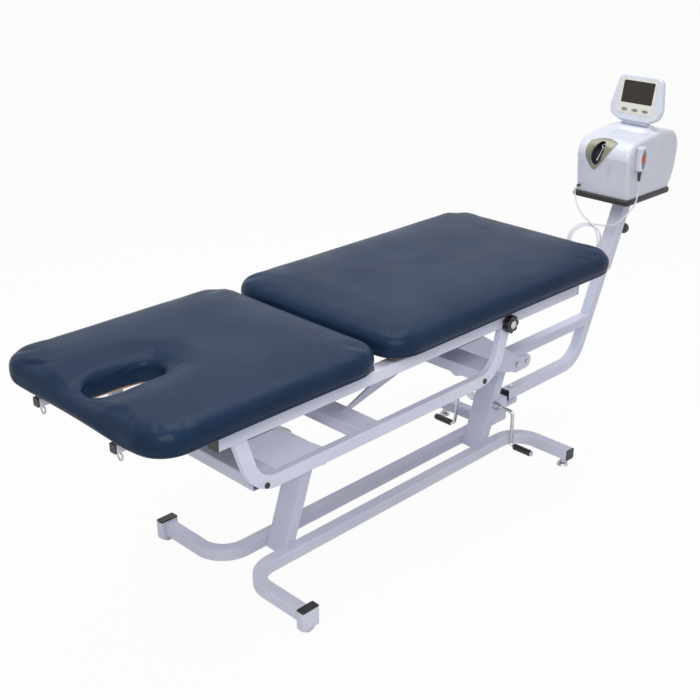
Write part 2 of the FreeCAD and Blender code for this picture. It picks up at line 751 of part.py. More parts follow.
def ear(leg_x, side):
    """Gusset ear from a cross beam down to a leg's head bolt."""
    pivot = leg_point(leg_x, HEAD_PIVOT_Z)
    left = pivot.x - EAR_REACH
    heel = (pivot.x - EAR_HEEL[0], pivot.z + EAR_HEEL[1])
    corner, slope_end = ear_corner(leg_x)
    outline = [
        (left, pivot.z + EAR_FACE),
        heel,
        tangent_point(heel, (pivot.x, pivot.z), EAR_END_R, 1),
        slope_end,
        corner,
        (left, corner[1]),
    ]
    span = sorted((side * EAR_Y, side * (EAR_Y + EAR_THICK)))
    ends = [Vec(pivot.x, y, pivot.z) for y in span]
    plate = slab(outline, span).fuse(rod(*ends, EAR_END_R))
    return plate.cut(rod(*ends, HEAD_BOLT_R + RUN)).removeSplitter()


def saddle(leg_x):
    """Bent sheet between the tops of two ears."""
    left = leg_point(leg_x, HEAD_PIVOT_Z).x - EAR_REACH
    corner, slope_end = ear_corner(leg_x)
    low = [corner[axis] + (slope_end[axis] - corner[axis]) * SADDLE_SHARE for axis in (0, 1)]
    upper = [(left, corner[1]), corner, (low[0], low[1])]
    lower = [(px, pz - SHEET) for px, pz in upper]
    return slab(upper + lower[::-1], (-EAR_Y, EAR_Y))


def cradle_beam(x):
    """Hollow cross beam between the cradle tubes."""
    inside = CRADLE_Y - CRADLE_WIDTH / 2
    start = Vec((x[0] + x[1]) / 2, -inside, CRADLE_Z)
    return straight_tube(start, ACROSS, 2 * inside, ALONG, UP, x[1] - x[0], BASE_TUBE, TUBE_WALL)


def head_bolt(leg_x):
    """Bolt through a leg's head with a hexagon at each end."""
    pivot = leg_point(leg_x, HEAD_PIVOT_Z)
    ends = [pivot + ACROSS * (sign * (EAR_Y + EAR_THICK)) for sign in (-1, 1)]
    near = hexagon(ends[0], -ACROSS, BOLT_HEAD_R, BOLT_HEAD_H)
    far = hexagon(ends[1], ACROSS, BOLT_HEAD_R, BOLT_HEAD_H)
    return rod(*ends, HEAD_BOLT_R).fuse([near, far])


def cradle_plugs():
    """Black plugs on the outer faces of the cradle tubes."""
    plugs = []
    for side in (-1, 1):
        face = side * (CRADLE_Y + CRADLE_WIDTH / 2)
        for px in PLUG_X:
            plugs.append(rod(Vec(px, face, CRADLE_Z), Vec(px, face + side * PLUG_STAND, CRADLE_Z), PLUG_R))
    return plugs


def make_cradle():
    """Cradle tubes, cross beams, ears and the bolts that hold the legs and mast."""
    for name, side in (("near", -1), ("far", 1)):
        put("cradle_" + name, cradle(side))
    legs = (FRONT_LEG_X, REAR_LEG_X)
    put("ear_saddles", Part.makeCompound([saddle(leg_x) for leg_x in legs]))
    put("leg_ears", Part.makeCompound([ear(leg_x, side) for leg_x in legs for side in (-1, 1)]))
    front, rear = [leg_point(leg_x, HEAD_PIVOT_Z).x - EAR_REACH for leg_x in legs]
    beams = ((front - FRONT_BEAM_WIDTH, front), MIDDLE_BEAM_X, (rear - REAR_BEAM_WIDTH, rear))
    put("cradle_braces", Part.makeCompound([cradle_beam(x) for x in beams] + [brace_bar(-1), brace_bar(1)]))
    bolts = [head_bolt(leg_x) for leg_x in legs] + [tab_bolt(-1), tab_bolt(1), mast_bolt(), stop_bolt()]
    put("frame_bolts", Part.makeCompound(bolts))


def bed_rail(side):
    """Square bed rail with the hole for the lock knob's stem."""
    start = Vec(-RAIL_HALF, side * RAIL_Y, (RAIL_Z[0] + RAIL_Z[1]) / 2)
    tube = straight_tube(start, ALONG, 2 * RAIL_HALF, ACROSS, UP, BASE_TUBE, BASE_TUBE, TUBE_WALL)
    if side > 0:
        return tube
    return tube.cut(rod(Vec(STAR_X, 0, STAR_Z), Vec(STAR_X, -CUSHION_WIDTH, STAR_Z), STAR_STEM_R + RUN))


def rail_caps():
    """Black plugs in the four rail ends."""
    caps = []
    for side in (-1, 1):
        for end in (-1, 1):
            centre = Vec(end * RAIL_HALF, side * RAIL_Y, (RAIL_Z[0] + RAIL_Z[1]) / 2)
            frame = rounded_frame(centre, ACROSS, UP, BASE_TUBE, BASE_TUBE, TUBE_CORNER)
            caps.append(Part.Face(frame).extrude(ALONG * (end * RAIL_CAP)))
    return caps


def rail_pads():
    """Thin black pads on the rails, on which the cushions lie."""
    pads = []
    for side in (-1, 1):
        for px in PAD_X:
            x = (px - PAD_LENGTH / 2, px + PAD_LENGTH / 2)
            y = (side * RAIL_Y - BASE_TUBE * 0.4, side * RAIL_Y + BASE_TUBE * 0.4)
            pads.append(box(x, y, (RAIL_Z[1], BED_TOP)))
    return pads


def eye_bolt(side):
    """Ring bolt that hangs under a head tube, for a harness strap."""
    top = Vec(EYE_X, side * HEAD_TUBE_Y, BED_TOP - HEAD_TUBE)
    centre = top - UP * (EYE_RING_R + EYE_WIRE_R + EYE_SHANK)
    eye = Part.makeTorus(EYE_RING_R, EYE_WIRE_R, centre, ALONG)
    shank = rod(top, top - UP * (EYE_SHANK + EYE_WIRE_R), EYE_WIRE_R + 0.5)
    collar = rod(top, top - UP * EYE_SHANK, EYE_WIRE_R * 2.4)
    return eye.fuse([shank, collar])


def head_tube(side):
    """Small square tube under the head cushion."""
    start = Vec(HEAD_TUBE_X[0], side * HEAD_TUBE_Y, BED_TOP - HEAD_TUBE / 2)
    length = HEAD_TUBE_X[1] - HEAD_TUBE_X[0]
    return straight_tube(start, ALONG, length, ACROSS, UP, HEAD_TUBE, HEAD_TUBE, 2.0, 3.0)


def head_tube_cap(side):
    """Black plug in the head end of a small tube."""
    centre = Vec(HEAD_TUBE_X[0], side * HEAD_TUBE_Y, BED_TOP - HEAD_TUBE / 2)
    frame = rounded_frame(centre, ACROSS, UP, HEAD_TUBE, HEAD_TUBE, 3.0)
    return Part.Face(frame).extrude(ALONG * -RAIL_CAP)


def track(side):
    """Ledge on the inside of a bed rail, on which the lumbar rollers run."""
    return box(TRACK_X, sorted((side * TRACK_INSIDE, side * (RAIL_Y - BASE_TUBE / 2))), TRACK_Z)


def brace_bar(side):
    """Slanting plate from the middle cross beam up to the bar between the roller tracks."""
    low = CRADLE_Z + BASE_TUBE / 2
    foot = MIDDLE_BEAM_X[1]
    outline = [(foot - BRACE_FOOT_WIDTH, low), (foot, low)]
    outline += [(px, RAIL_Z[0]) for px in reversed(BRACE_TOP_X)]
    return slab(outline, sorted(side * y for y in BRACE_BAR_Y))


def make_bed():
    """Bed rails, cross members, head frame and roller tracks."""
    for name, side in (("near", -1), ("far", 1)):
        put("bed_rail_" + name, bed_rail(side))
    inside = RAIL_Y - BASE_TUBE / 2
    members = []
    for px in CROSS_X:
        x = (px - CROSS_WIDTH / 2, px + CROSS_WIDTH / 2)
        members.append(box(x, (-inside, inside), (RAIL_Z[0], BED_TOP - HEAD_TUBE)))
    x = (RAIL_HALF - CROSS_WIDTH, RAIL_HALF)
    members.append(box(x, (-inside, inside), (RAIL_Z[0], RAIL_Z[0] + REAR_CROSS_HEIGHT)))
    x = (BRACE_TOP_X[1] - CROSS_WIDTH, BRACE_TOP_X[1])
    members.append(box(x, (-TRACK_INSIDE, TRACK_INSIDE), TRACK_Z))
    put("bed_cross_members", Part.makeCompound(members))
    caps = rail_caps() + rail_pads() + cradle_plugs() + [head_tube_cap(-1), head_tube_cap(1), mast_cap()]
    put("bed_caps", Part.makeCompound(caps))
    put("roller_tracks", both_sides(track))
    put("head_tubes", both_sides(head_tube))
    put("eye_bolts", both_sides(eye_bolt))


def cushion_outline(x, half, inset, z):
    """Plan of a cushion at a level: rounded corners, and sides drawn in between them."""
    x0 = x[0] + inset
    x1 = x[1] - inset
    y1 = half - inset
    radius = CORNER_R - inset * 0.55
    bulge = radius * (1 - math.sqrt(0.5))
    pull = SIDE_PULL
    corners = (
        (Vec(x1, y1 - radius, z), Vec(x1 - bulge, y1 - bulge, z), Vec(x1 - radius, y1, z)),
        (Vec(x0 + radius, y1, z), Vec(x0 + bulge, y1 - bulge, z), Vec(x0, y1 - radius, z)),
        (Vec(x0, radius - y1, z), Vec(x0 + bulge, bulge - y1, z), Vec(x0 + radius, -y1, z)),
        (Vec(x1 - radius, -y1, z), Vec(x1 - bulge, bulge - y1, z), Vec(x1, radius - y1, z)),
    )
    inwards = (Vec(0, -pull, 0), Vec(pull, 0, 0), Vec(0, pull, 0), Vec(-pull, 0, 0))
    edges = []
    for index in range(4):
        here = corners[index]
        following = corners[(index + 1) % 4]
        edges.append(Part.Arc(*here).toShape())
        middle = (here[2] + following[0]) * 0.5 + inwards[index]
        edges.append(Part.Arc(here[2], middle, following[0]).toShape())
    return Part.Wire(edges)


def cushion(x, bottom):
    """Upholstered pad: bull-nosed edges, drawn-in sides and a shallow crown."""
    half = CUSHION_WIDTH / 2
    full = CUSHION_THICK
    wires = []
    for level, inset in CUSHION_PROFILE:
        wires.append(cushion_outline(x, half, inset, bottom + level * full))
    return Part.makeLoft(wires, True, True)


def board(x, bottom, grow):
    """Plywood board let into the underside of a cushion."""
    inset = BOARD_INSET - grow
    centre = Vec((x[0] + x[1]) / 2, 0, bottom)
    width = x[1] - x[0] - 2 * inset
    depth = CUSHION_WIDTH - 2 * inset
    frame = rounded_frame(centre, ALONG, ACROSS, width, depth, CORNER_R - inset)
    return Part.Face(frame).extrude(UP * (BOARD_THICK + grow))


def slot_outline(grow, z):
    """Plan of the face slot: a small round end, a larger one and the two tangent sides."""
    small_x, small_r = SLOT_HEAD[0], SLOT_HEAD[1] + grow
    large_x, large_r = SLOT_FOOT[0], SLOT_FOOT[1] + grow
    angle = math.acos((large_r - small_r) / (large_x - small_x))
    cosine = math.cos(math.pi - angle)
    sine = math.sin(math.pi - angle)

    def on_circle(cx, radius, sign):
        return Vec(cx + radius * cosine, sign * radius * sine, z)

    near_small, far_small = on_circle(small_x, small_r, -1), on_circle(small_x, small_r, 1)
    near_large, far_large = on_circle(large_x, large_r, -1), on_circle(large_x, large_r, 1)
    tip = Vec(large_x + large_r, 0, z)
    diagonal_near = Vec(large_x + large_r * math.cos(angle / 2), -large_r * math.sin(angle / 2), z)
    diagonal_far = Vec(diagonal_near.x, -diagonal_near.y, z)
    edges = [
        Part.Arc(far_small, Vec(small_x - small_r, 0, z), near_small).toShape(),
        Part.LineSegment(near_small, near_large).toShape(),
        Part.Arc(near_large, diagonal_near, tip).toShape(),
        Part.Arc(tip, diagonal_far, far_large).toShape(),
        Part.LineSegment(far_large, far_small).toShape(),
    ]
    return Part.Wire(edges)


def slot_lip(grow):
    """Block round the face slot that the board under the cushion leaves free."""
    return Part.Face(slot_outline(grow, BED_TOP - 5)).extrude(UP * (BOARD_THICK + 10))


def face_slot():
    """Tool that cuts the face slot with a rolled upper rim."""
    low = BED_TOP - 5
    rim = BED_TOP + CUSHION_THICK - SLOT_FLARE
    shaft = Part.Face(slot_outline(0, low)).extrude(UP * (rim - low))
    levels = ((0.0, 0.0), (0.5, 0.13), (0.8, 0.4), (1.0, 1.0), (1.2, 1.6))
    wires = [slot_outline(SLOT_FLARE * grow, rim + SLOT_FLARE * rise) for rise, grow in levels]
    return shaft.fuse(Part.makeLoft(wires, True, True))


def carriage():
    """Lumbar carriage: two side bars, two straps, and the brackets and pins of its rollers."""
    top = BED_TOP + SEAT
    pieces = []
    for side in (-1, 1):
        y = side * CARRIAGE_Y
        span = (y - CARRIAGE_BAR / 2, y + CARRIAGE_BAR / 2)
        pieces.append(box(CARRIAGE_X, span, (CARRIAGE_Z, top)))
        for px in ROLLER_X:
            pin_z = TRACK_Z[1] + ROLLER_R
            pieces.append(box((px - 12, px + 12), span, (pin_z - 8, top)))
            pin_end = side * (RAIL_Y - BASE_TUBE / 2 - 1)
            pieces.append(rod(Vec(px, y, pin_z), Vec(px, pin_end, pin_z), ROLLER_PIN_R))
    reach = CARRIAGE_Y + CARRIAGE_BAR / 2
    for px in ROLLER_X:
        x = (px - STRAP_WIDTH / 2, px + STRAP_WIDTH / 2)
        pieces.append(box(x, (-reach, reach), (top - STRAP_THICK, top)))
    return pieces[0].fuse(pieces[1:]).removeSplitter()


def roller(px, side):
    """Lumbar roller on its pin."""
    middle = side * (CARRIAGE_Y + CARRIAGE_BAR / 2 + 1 + ROLLER_WIDTH / 2)
    centre = Vec(px, middle, TRACK_Z[1] + ROLLER_R)
    half = ACROSS * (ROLLER_WIDTH / 2)
    return ring(centre - half, centre + half, ROLLER_R - RUN, ROLLER_PIN_R + RUN)


def make_cushions():
    """Head cushion, lumbar cushion and the sliding carriage."""
    pocket = board(HEAD_CUSHION_X, BED_TOP, SEAT).cut(slot_lip(SLOT_LIP - SEAT))
    put("head_cushion", cushion(HEAD_CUSHION_X, BED_TOP).cut(pocket).cut(face_slot()))
    put("head_board", board(HEAD_CUSHION_X, BED_TOP, 0).cut(slot_lip(SLOT_LIP)))
    low = BED_TOP + SEAT
    put("lumbar_cushion", cushion(LUMBAR_CUSHION_X, low).cut(board(LUMBAR_CUSHION_X, low, SEAT)))
    put("lumbar_board", board(LUMBAR_CUSHION_X, low, 0))
    put("lumbar_carriage", carriage())
    for end, px in zip(("front", "rear"), ROLLER_X):
        put("roller_" + end, Part.makeCompound([roller(px, -1), roller(px, 1)]))


def star_knob():
    """Lobed lock knob with its stem through the near bed rail."""
    face = -STAR_FACE_Y
    back = face + STAR_BODY
    outside = Vec(STAR_X, face, STAR_Z)
    inside = Vec(STAR_X, back, STAR_Z)
    body = rod(outside, inside, STAR_R - STAR_LOBE_R * 0.7)
    lobes = []
    for step in range(STAR_LOBES):
        angle = 2 * math.pi * step / STAR_LOBES
        shift = Vec(math.cos(angle), 0, math.sin(angle)) * (STAR_R - STAR_LOBE_R)
        lobes.append(rod(outside + shift, inside + shift, STAR_LOBE_R))
    rail_face = -(RAIL_Y + BASE_TUBE / 2 + SEAT)
    collar = rod(inside, Vec(STAR_X, rail_face, STAR_Z), STAR_R * 0.55)
    tip = -(CARRIAGE_Y + CARRIAGE_BAR / 2 + SEAT)
    stem = rod(inside, Vec(STAR_X, tip, STAR_Z), STAR_STEM_R)
    disc = rod(outside, outside - ACROSS * 2, STAR_R * 0.4)
    return body.fuse(lobes + [collar, stem, disc]).removeSplitter()


def mast_route():
    """Corner points of the mast tube."""
    return [Vec(MAST_FOOT_X, 0, MAST_FOOT_Z), Vec(MAST_CORNER_X, 0, MAST_FOOT_Z), mast_point(MAST_TOP_Z)]


def mast_frame():
    """Welded mast: foot tube, bend, upright, brace and the yoke that bolts to the rear ears."""
    route = mast_route()
    tube = bent_tube(route, MAST_BEND, ACROSS, MAST_TUBE, MAST_TUBE)
    solid = swept(route, MAST_BEND, ACROSS, MAST_TUBE, MAST_TUBE, TUBE_CORNER)
    reach = MAST_BEND * math.tan(ALONG.getAngle(MAST_DIR) / 2)
    bend_ends = (route[1] - ALONG * reach, route[1] + MAST_DIR * reach)
    runs = ((route[0], bend_ends[0], ALONG, UP), (bend_ends[1], route[2], MAST_DIR, MAST_BACK))
    straights = []
    for start, end, heading, side in runs:
        length = (end - start).Length
        straights.append(straight_tube(start, heading, length, ACROSS, side, MAST_TUBE, MAST_TUBE, TUBE_WALL))
        block = rounded_frame(start, ACROSS, side, 2 * MAST_TUBE, 2 * MAST_TUBE, TUBE_CORNER)
        tube = tube.cut(Part.Face(block).extrude(heading * length))
    start = Vec(YOKE_X + YOKE_THICK, 0, BRACE_Z)
    length = mast_point(BRACE_Z).x - start.x
    brace = straight_tube(start, ALONG, length, ACROSS, UP, MAST_TUBE, MAST_TUBE, TUBE_WALL).cut(solid)
    pivot = leg_point(REAR_LEG_X, HEAD_PIVOT_Z)
    inner = EAR_Y - YOKE_THICK
    height = (BRACE_Z - YOKE_HALF_Z, BRACE_Z + YOKE_HALF_Z)
    yoke = [box((YOKE_X, YOKE_X + YOKE_THICK), (-inner, inner), height)]
    for side in (-1, 1):
        faces = sorted((side * inner, side * EAR_Y))
        nose = [Vec(pivot.x, y, pivot.z) for y in faces]
        tab = [Vec(TAB_X, y, BRACE_Z) for y in faces]
        cheek = box((pivot.x, TAB_X), faces, height).fuse([rod(*nose, EAR_END_R), rod(*tab, YOKE_HALF_Z)])
        yoke.append(cheek.cut(rod(*nose, HEAD_BOLT_R + RUN)).removeSplitter())
    return Part.makeCompound(straights + [tube, brace] + yoke)


def tab_bolt(side):
    """Bolt head on the round end of a yoke cheek."""
    return hexagon(Vec(TAB_X, side * EAR_Y, BRACE_Z), ACROSS * side, TAB_BOLT_R, BOLT_HEAD_H)


def mast_cap():
    """Black plug in the foot end of the mast tube."""
    face = Vec(MAST_FOOT_X, 0, MAST_FOOT_Z)
    frame = rounded_frame(face, ACROSS, UP, MAST_TUBE, MAST_TUBE, TUBE_CORNER)
    return Part.Face(frame).extrude(ALONG * -CAP_DEPTH)


def mast_bolt():
    """Bolt head on top of the mast's foot."""
    return hexagon(Vec(MAST_FOOT_X + 30, 0, MAST_FOOT_Z + MAST_TUBE / 2), UP, BOLT_HEAD_R, BOLT_HEAD_H)


def sleeve():
    """Square sleeve that slides on the mast and carries the shelf."""
    start = mast_point(SLEEVE_Z[0])
    length = (SLEEVE_Z[1] - SLEEVE_Z[0]) / math.cos(MAST_TILT) + 40
    hole = MAST_TUBE + 2 * SLIDE
    outer = Part.Face(rounded_frame(start, ACROSS, MAST_BACK, SLEEVE_WIDTH, SLEEVE_DEPTH, TUBE_CORNER))
    inner = Part.Face(rounded_frame(start, ACROSS, MAST_BACK, hole, hole, TUBE_CORNER))
    tube = outer.extrude(MAST_DIR * length).cut(inner.extrude(MAST_DIR * length))
    centre = mast_point(SLEEVE_Z[1])
    plate_z = (SLEEVE_Z[1], SHELF_Z[0])
    big = 4 * SLEEVE_WIDTH
    tube = tube.cut(box((centre.x - big, centre.x + big), (-big, big), (SLEEVE_Z[1], SLEEVE_Z[1] + big)))
    plate_x = (centre.x + SLEEVE_PLATE_X[0], centre.x + SLEEVE_PLATE_X[1])
    plate = box(plate_x, (-SLEEVE_PLATE_Y, SLEEVE_PLATE_Y), plate_z)
    hub = mast_point(MAST_KNOB_Z)
    stem_hole = rod(hub, hub + MAST_BACK * SLEEVE_DEPTH, STAR_STEM_R + RUN)
    return tube.fuse(plate).cut(stem_hole).removeSplitter()


def mast_knob():
    """Round clamp knob on the back of the sleeve."""
    hub = mast_point(MAST_KNOB_Z)
    tip = hub + MAST_BACK * (MAST_TUBE / 2 + SEAT)
    face = hub + MAST_BACK * (SLEEVE_DEPTH / 2 + SEAT)
    outside = face + MAST_BACK * MAST_KNOB_REACH
    collar = rod(face, outside, MAST_KNOB_R * 0.5)
    body = rod(outside, outside + MAST_BACK * (1.6 * MAST_KNOB_R), MAST_KNOB_R)
    body = body.makeFillet(MAST_KNOB_R * 0.45, [edge for edge in body.Edges if edge.Closed])
    return body.fuse([collar, rod(tip, face, STAR_STEM_R)]).removeSplitter()


def stop_bolt():
    """Bolt below the sleeve, on which the sleeve rests."""
    foot = mast_point(SLEEVE_Z[0]) - MAST_DIR * (STOP_BOLT_R + SEAT) + MAST_BACK * (MAST_TUBE / 2)
    shank = rod(foot, foot + MAST_BACK * STOP_BOLT_REACH, STOP_BOLT_R)
    head = hexagon(foot + MAST_BACK * STOP_BOLT_REACH, MAST_BACK, STOP_BOLT_R * 2.2, BOLT_HEAD_H)
    return shank.fuse(head)


def shelf():
    """Black shelf under the traction unit, with rounded edges."""
    centre = Vec((SHELF_X[0] + SHELF_X[1]) / 2, 0, SHELF_Z[0])
    frame = rounded_frame(centre, ALONG, ACROSS, SHELF_X[1] - SHELF_X[0], 2 * SHELF_Y, SHELF_CORNER)
    plate = Part.Face(frame).extrude(UP * (SHELF_Z[1] - SHELF_Z[0]))
    rims = [edge for edge in plate.Edges if edge.BoundBox.ZLength < 0.01]
    return plate.makeFillet(SHELF_ROUND, rims)


def make_mast():
    """Mast, its sleeve, clamp knob and shelf."""
    put("star_knob", star_knob())
    put("mast_frame", mast_frame())
    put("mast_sleeve", sleeve())
    put("mast_knob", mast_knob())
    put("unit_shelf", shelf())


def case_profile(y, inset):
    """Side profile of the unit's case at a distance across, drawn in by an inset."""
    centre_x = (CASE_BROW[0] + CASE_BULGE[0]) / 2
    narrow = 1 - 2 * inset / (CASE_BULGE[0] - CASE_BROW[0])
    low = 1 - inset / CASE_ROOF_TOP[1]

    def at(point):
        return Vec(centre_x + (point[0] - centre_x) * narrow, y, CASE_Z + point[1] * low)

    edges = [
        Part.LineSegment(at(CASE_FOOT_BACK), at(CASE_FOOT_FRONT)).toShape(),
        Part.LineSegment(at(CASE_FOOT_FRONT), at(CASE_BROW)).toShape(),
        Part.Arc(at(CASE_BROW), at(CASE_BROW_BEND), at(CASE_ROOF_FRONT)).toShape(),
        Part.Arc(at(CASE_ROOF_FRONT), at(CASE_ROOF_TOP), at(CASE_ROOF_BACK)).toShape(),
        Part.Arc(at(CASE_ROOF_BACK), at(CASE_SHOULDER), at(CASE_BULGE)).toShape(),
        Part.Arc(at(CASE_BULGE), at(CASE_BACK_BEND), at(CASE_FOOT_BACK)).toShape(),
    ]
    return Part.Wire(edges)


def case_skin(inset):
    """Form of the traction unit's case with rounded flanks, set in by a distance."""
    half = CASE_HALF - inset
    flank = []
    for step in range(CASE_STEPS + 1):
        angle = math.pi / 2 * step / CASE_STEPS
        out = half - CASE_ROUND * (1 - math.cos(angle))
        flank.append((out, inset + CASE_ROUND * (1 - math.sin(angle))))
    wires = [case_profile(-y, draw) for y, draw in flank]
    wires += [case_profile(y, draw) for y, draw in reversed(flank)]
    return Part.makeLoft(wires, True, True)


def neck():
    """Flared neck on the roof of the case."""
    low = Vec(NECK_X, 0, CASE_Z + CASE_ROOF_FRONT[1])
    high = Vec(NECK_X, 0, NECK_TOP_Z)
    wires = [
        rounded_frame(low, ACROSS, ALONG, NECK_FOOT[0], NECK_FOOT[1], 50.0),
        rounded_frame(high, ACROSS, ALONG, NECK_TOP[0], NECK_TOP[1], 30.0),
    ]
    return Part.makeLoft(wires, True, True)


def front_bar(wire):
    """Bar through the front of the case with an outline given on an upright plane."""
    return Part.Face(wire).extrude(ALONG * (CASE_ROOF_FRONT[0] + 40 - wire.BoundBox.XMin))


def leaf_bar():
    """Bar with the leaf-shaped outline of the port's bezel."""
    x = CASE_BROW[0] - 20
    spots = [Vec(x, y, CASE_Z + z) for y, z in LEAF]
    edges = []
    for index in range(0, len(spots), 2):
        edges.append(Part.Arc(spots[index], spots[index + 1], spots[(index + 2) % len(spots)]).toShape())
    return front_bar(Part.Wire(edges))


def port_bar(grow):
    """Bar with the oval outline of the rope port."""
    turn = math.radians(PORT_TURN)
    centre = Vec(CASE_BROW[0] - 20, PORT_CENTRE[0], CASE_Z + PORT_CENTRE[1])
    long_way = Vec(0, -math.sin(turn), math.cos(turn)) * (PORT_R[0] + grow)
    short_way = Vec(0, math.cos(turn), math.sin(turn)) * (PORT_R[1] + grow)
    ellipse = Part.Ellipse(centre + long_way, centre + short_way, centre)
    return front_bar(Part.Wire(ellipse.toShape()))


def case_shell():
    """Case of the unit: open below, with the rope port, grip strips, neck and switch clip."""
    cavity = case_skin(CASE_WALL)
    shell = case_skin(0).fuse(neck()).cut(cavity).cut(port_bar(0))
    band = case_skin(0).cut(case_skin(STRIP_DEPTH))
    for y in STRIP_Y:
        x = (CASE_BROW[0] - 20, CASE_ROOF_FRONT[0])
        strip = box(x, (y - STRIP_WIDTH / 2, y + STRIP_WIDTH / 2), STRIP_Z)
        shell = shell.cut(strip.common(band))
    back = SWITCH_Y + SWITCH_DEPTH / 2
    clip_z = (SWITCH_Z[0] + 18, SWITCH_Z[1] - 30)
    clip_x = (SWITCH_X - 12, SWITCH_X + 12)
    clip = box(clip_x, (back, -CASE_HALF + CASE_ROUND / 2), clip_z).cut(case_skin(0))
    return shell.fuse(clip).removeSplitter()


def bezel():
    """Leaf-shaped frame that follows the case round the rope port."""
    band = case_skin(-BEZEL_STAND).cut(case_skin(0))
    return band.common(leaf_bar()).cut(port_bar(0))


def port_cup():
    """Dark cup behind the rope port."""
    floor = case_skin(PORT_DEPTH)
    cup = port_bar(PORT_LINING).common(case_skin(CASE_WALL)).cut(case_skin(PORT_DEPTH + PORT_LINING))
    return cup.cut(port_bar(0).cut(floor))


def rope_hook(cup):
    """Metal snap hook at the end of the traction rope, lying in the cup."""
    low = Vec(HOOK_X[0], PORT_CENTRE[0] + 7, CASE_Z + PORT_CENTRE[1] - 24)
    high = Vec(HOOK_X[1], PORT_CENTRE[0] - 5, CASE_Z + PORT_CENTRE[1] + 16)
    way = (high - low).normalize()
    shank = rod(low, high, 2.5)
    collar = rod(low - way * 5, low + way * 5, 4.0)
    loop = Part.makeTorus(7.0, 2.2, high + way * 7, way.cross(ACROSS))
    return shank.fuse([loop, collar]).cut(cup)


def drum():
    """Rope drum inside the unit."""
    centre = Vec(DRUM_X, 0, DRUM_Z)
    half = ACROSS * (DRUM_WIDTH / 2)
    spool = rod(centre - half, centre + half, DRUM_R * 0.75)
    flanges = []
    for sign in (-1, 1):
        face = centre + half * sign
        flanges.append(rod(face, face - ACROSS * (sign * 4), DRUM_R))
    return spool.fuse(flanges).cut(rod(centre - half, centre + half, DRUM_PIN_R + RUN)).removeSplitter()


def drive():
    """Drive of the rope drum: floor plate, two side plates, the drum's pin and the motor."""
    centre = Vec(DRUM_X, 0, DRUM_Z)
    x = (DRUM_X - DRUM_R - 8, DRUM_X + DRUM_R + 8)
    reach = DRUM_WIDTH / 2 + 7
    pieces = [box(x, (-reach, reach), (CASE_Z, CASE_Z + 4))]
    for side in (-1, 1):
        faces = sorted((side * (DRUM_WIDTH / 2 + 2), side * reach))
        pieces.append(box(x, faces, (CASE_Z, DRUM_Z + DRUM_R + 8)))
    ends = [centre + ACROSS * (sign * reach) for sign in (-1, 1)]
    pieces.append(rod(*ends, DRUM_PIN_R))
    pieces.append(rod(ends[1], ends[1] + ACROSS * 58, MOTOR_R))
    return pieces[0].fuse(pieces[1:]).removeSplitter()


def pod_frame():
    """Hinge point of the display pod, the way out of its screen and the way up it."""
    tilt = math.radians(POD_TILT)
    out = Vec(-math.cos(tilt), 0, math.sin(tilt))
    rise = Vec(math.sin(tilt), 0, math.cos(tilt))
    return Vec(NECK_X, 0, NECK_TOP_Z + HINGE_R + SEAT), out, rise


def pod_face():
    """Distance of the pod's front face from its hinge."""
    return POD_SECTIONS[-1][0] / 2


def pod_loop(start, share):
    """Outline of the pod at a distance through it, drawn in to a share of its full size."""
    origin, out, rise = pod_frame()
    centre = origin + out * (start - pod_face()) + rise * POD_MIDDLE
    spots = []
    for across, up in POD_OUTLINE:
        spots.append(centre + ACROSS * (across * share) + rise * ((up - POD_MIDDLE) * share))
    seam = (spots[0] + spots[-1]) * 0.5
    return path([seam] + spots + [seam], [radius * share for radius in POD_ROUNDS])


def pod_plate(width, height, up, corner, start, thick):
    """Rounded plate on the pod, at a height up its face and a start along its outward direction."""
    origin, out, rise = pod_frame()
    centre = origin + rise * up + out * start
    return Part.Face(rounded_frame(centre, ACROSS, rise, width, height, corner)).extrude(out * thick)


def screen_plate(thick):
    """Block of the screen's outline, from its seat in the pod outwards."""
    return pod_plate(SCREEN_WIDTH, SCREEN_HEIGHT, SCREEN_UP, 4.0, pod_face() - SCREEN_THICK, thick)


def button_bar(step, grow, start, thick):
    """Oval bar at one of the three button places."""
    origin, out, rise = pod_frame()
    centre = origin + rise * BUTTON_UP + ACROSS * (-step * BUTTON_STEP) + out * start
    long_end = centre + ACROSS * (BUTTON_R[0] + grow)
    ellipse = Part.Ellipse(long_end, centre + rise * (BUTTON_R[1] + grow), centre)
    return Part.Face(Part.Wire(ellipse.toShape())).extrude(out * thick)


def button_floor():
    """Distance of the button wells' floor from the hinge."""
    return pod_face() + PANEL_THICK + BUTTON_TRAVEL - BUTTON_THICK - 2 * BUTTON_TRAVEL


def pod_shell():
    """Display pod with its hinge bar, the screen's recess and the wells of the buttons."""
    origin = pod_frame()[0]
    body = Part.makeLoft([pod_loop(start, share) for start, share in POD_SECTIONS], True, True)
    bar = rod(origin - ACROSS * HINGE_HALF, origin + ACROSS * HINGE_HALF, HINGE_R)
    recess = screen_plate(2 * SCREEN_THICK)
    wells = [button_bar(step, SEAT, button_floor(), 2 * BUTTON_THICK) for step in (-1, 0, 1)]
    return body.fuse(bar).cut([recess] + wells).removeSplitter()


def pod_panel():
    """Pale panel on the pod's face, round the screen and the buttons."""
    plate = pod_plate(PANEL_WIDTH, PANEL_HEIGHT, PANEL_UP, PANEL_CORNER, pod_face(), PANEL_THICK)
    window = pod_plate(SCREEN_WIDTH, SCREEN_HEIGHT, SCREEN_UP, 4.0, pod_face(), PANEL_THICK)
    wells = [button_bar(step, SEAT, button_floor(), 2 * BUTTON_THICK) for step in (-1, 0, 1)]
    return plate.cut([window] + wells)


def switch_bar(grow, start, thick):
    """Oval bar at the place of the stop button, along Y."""
    centre = Vec(SWITCH_X, start, STOP_Z)
    ellipse = Part.Ellipse(centre + UP * (STOP_R[0] + grow), centre + ALONG * (STOP_R[1] + grow), centre)
    return Part.Face(Part.Wire(ellipse.toShape())).extrude(ACROSS * -thick)


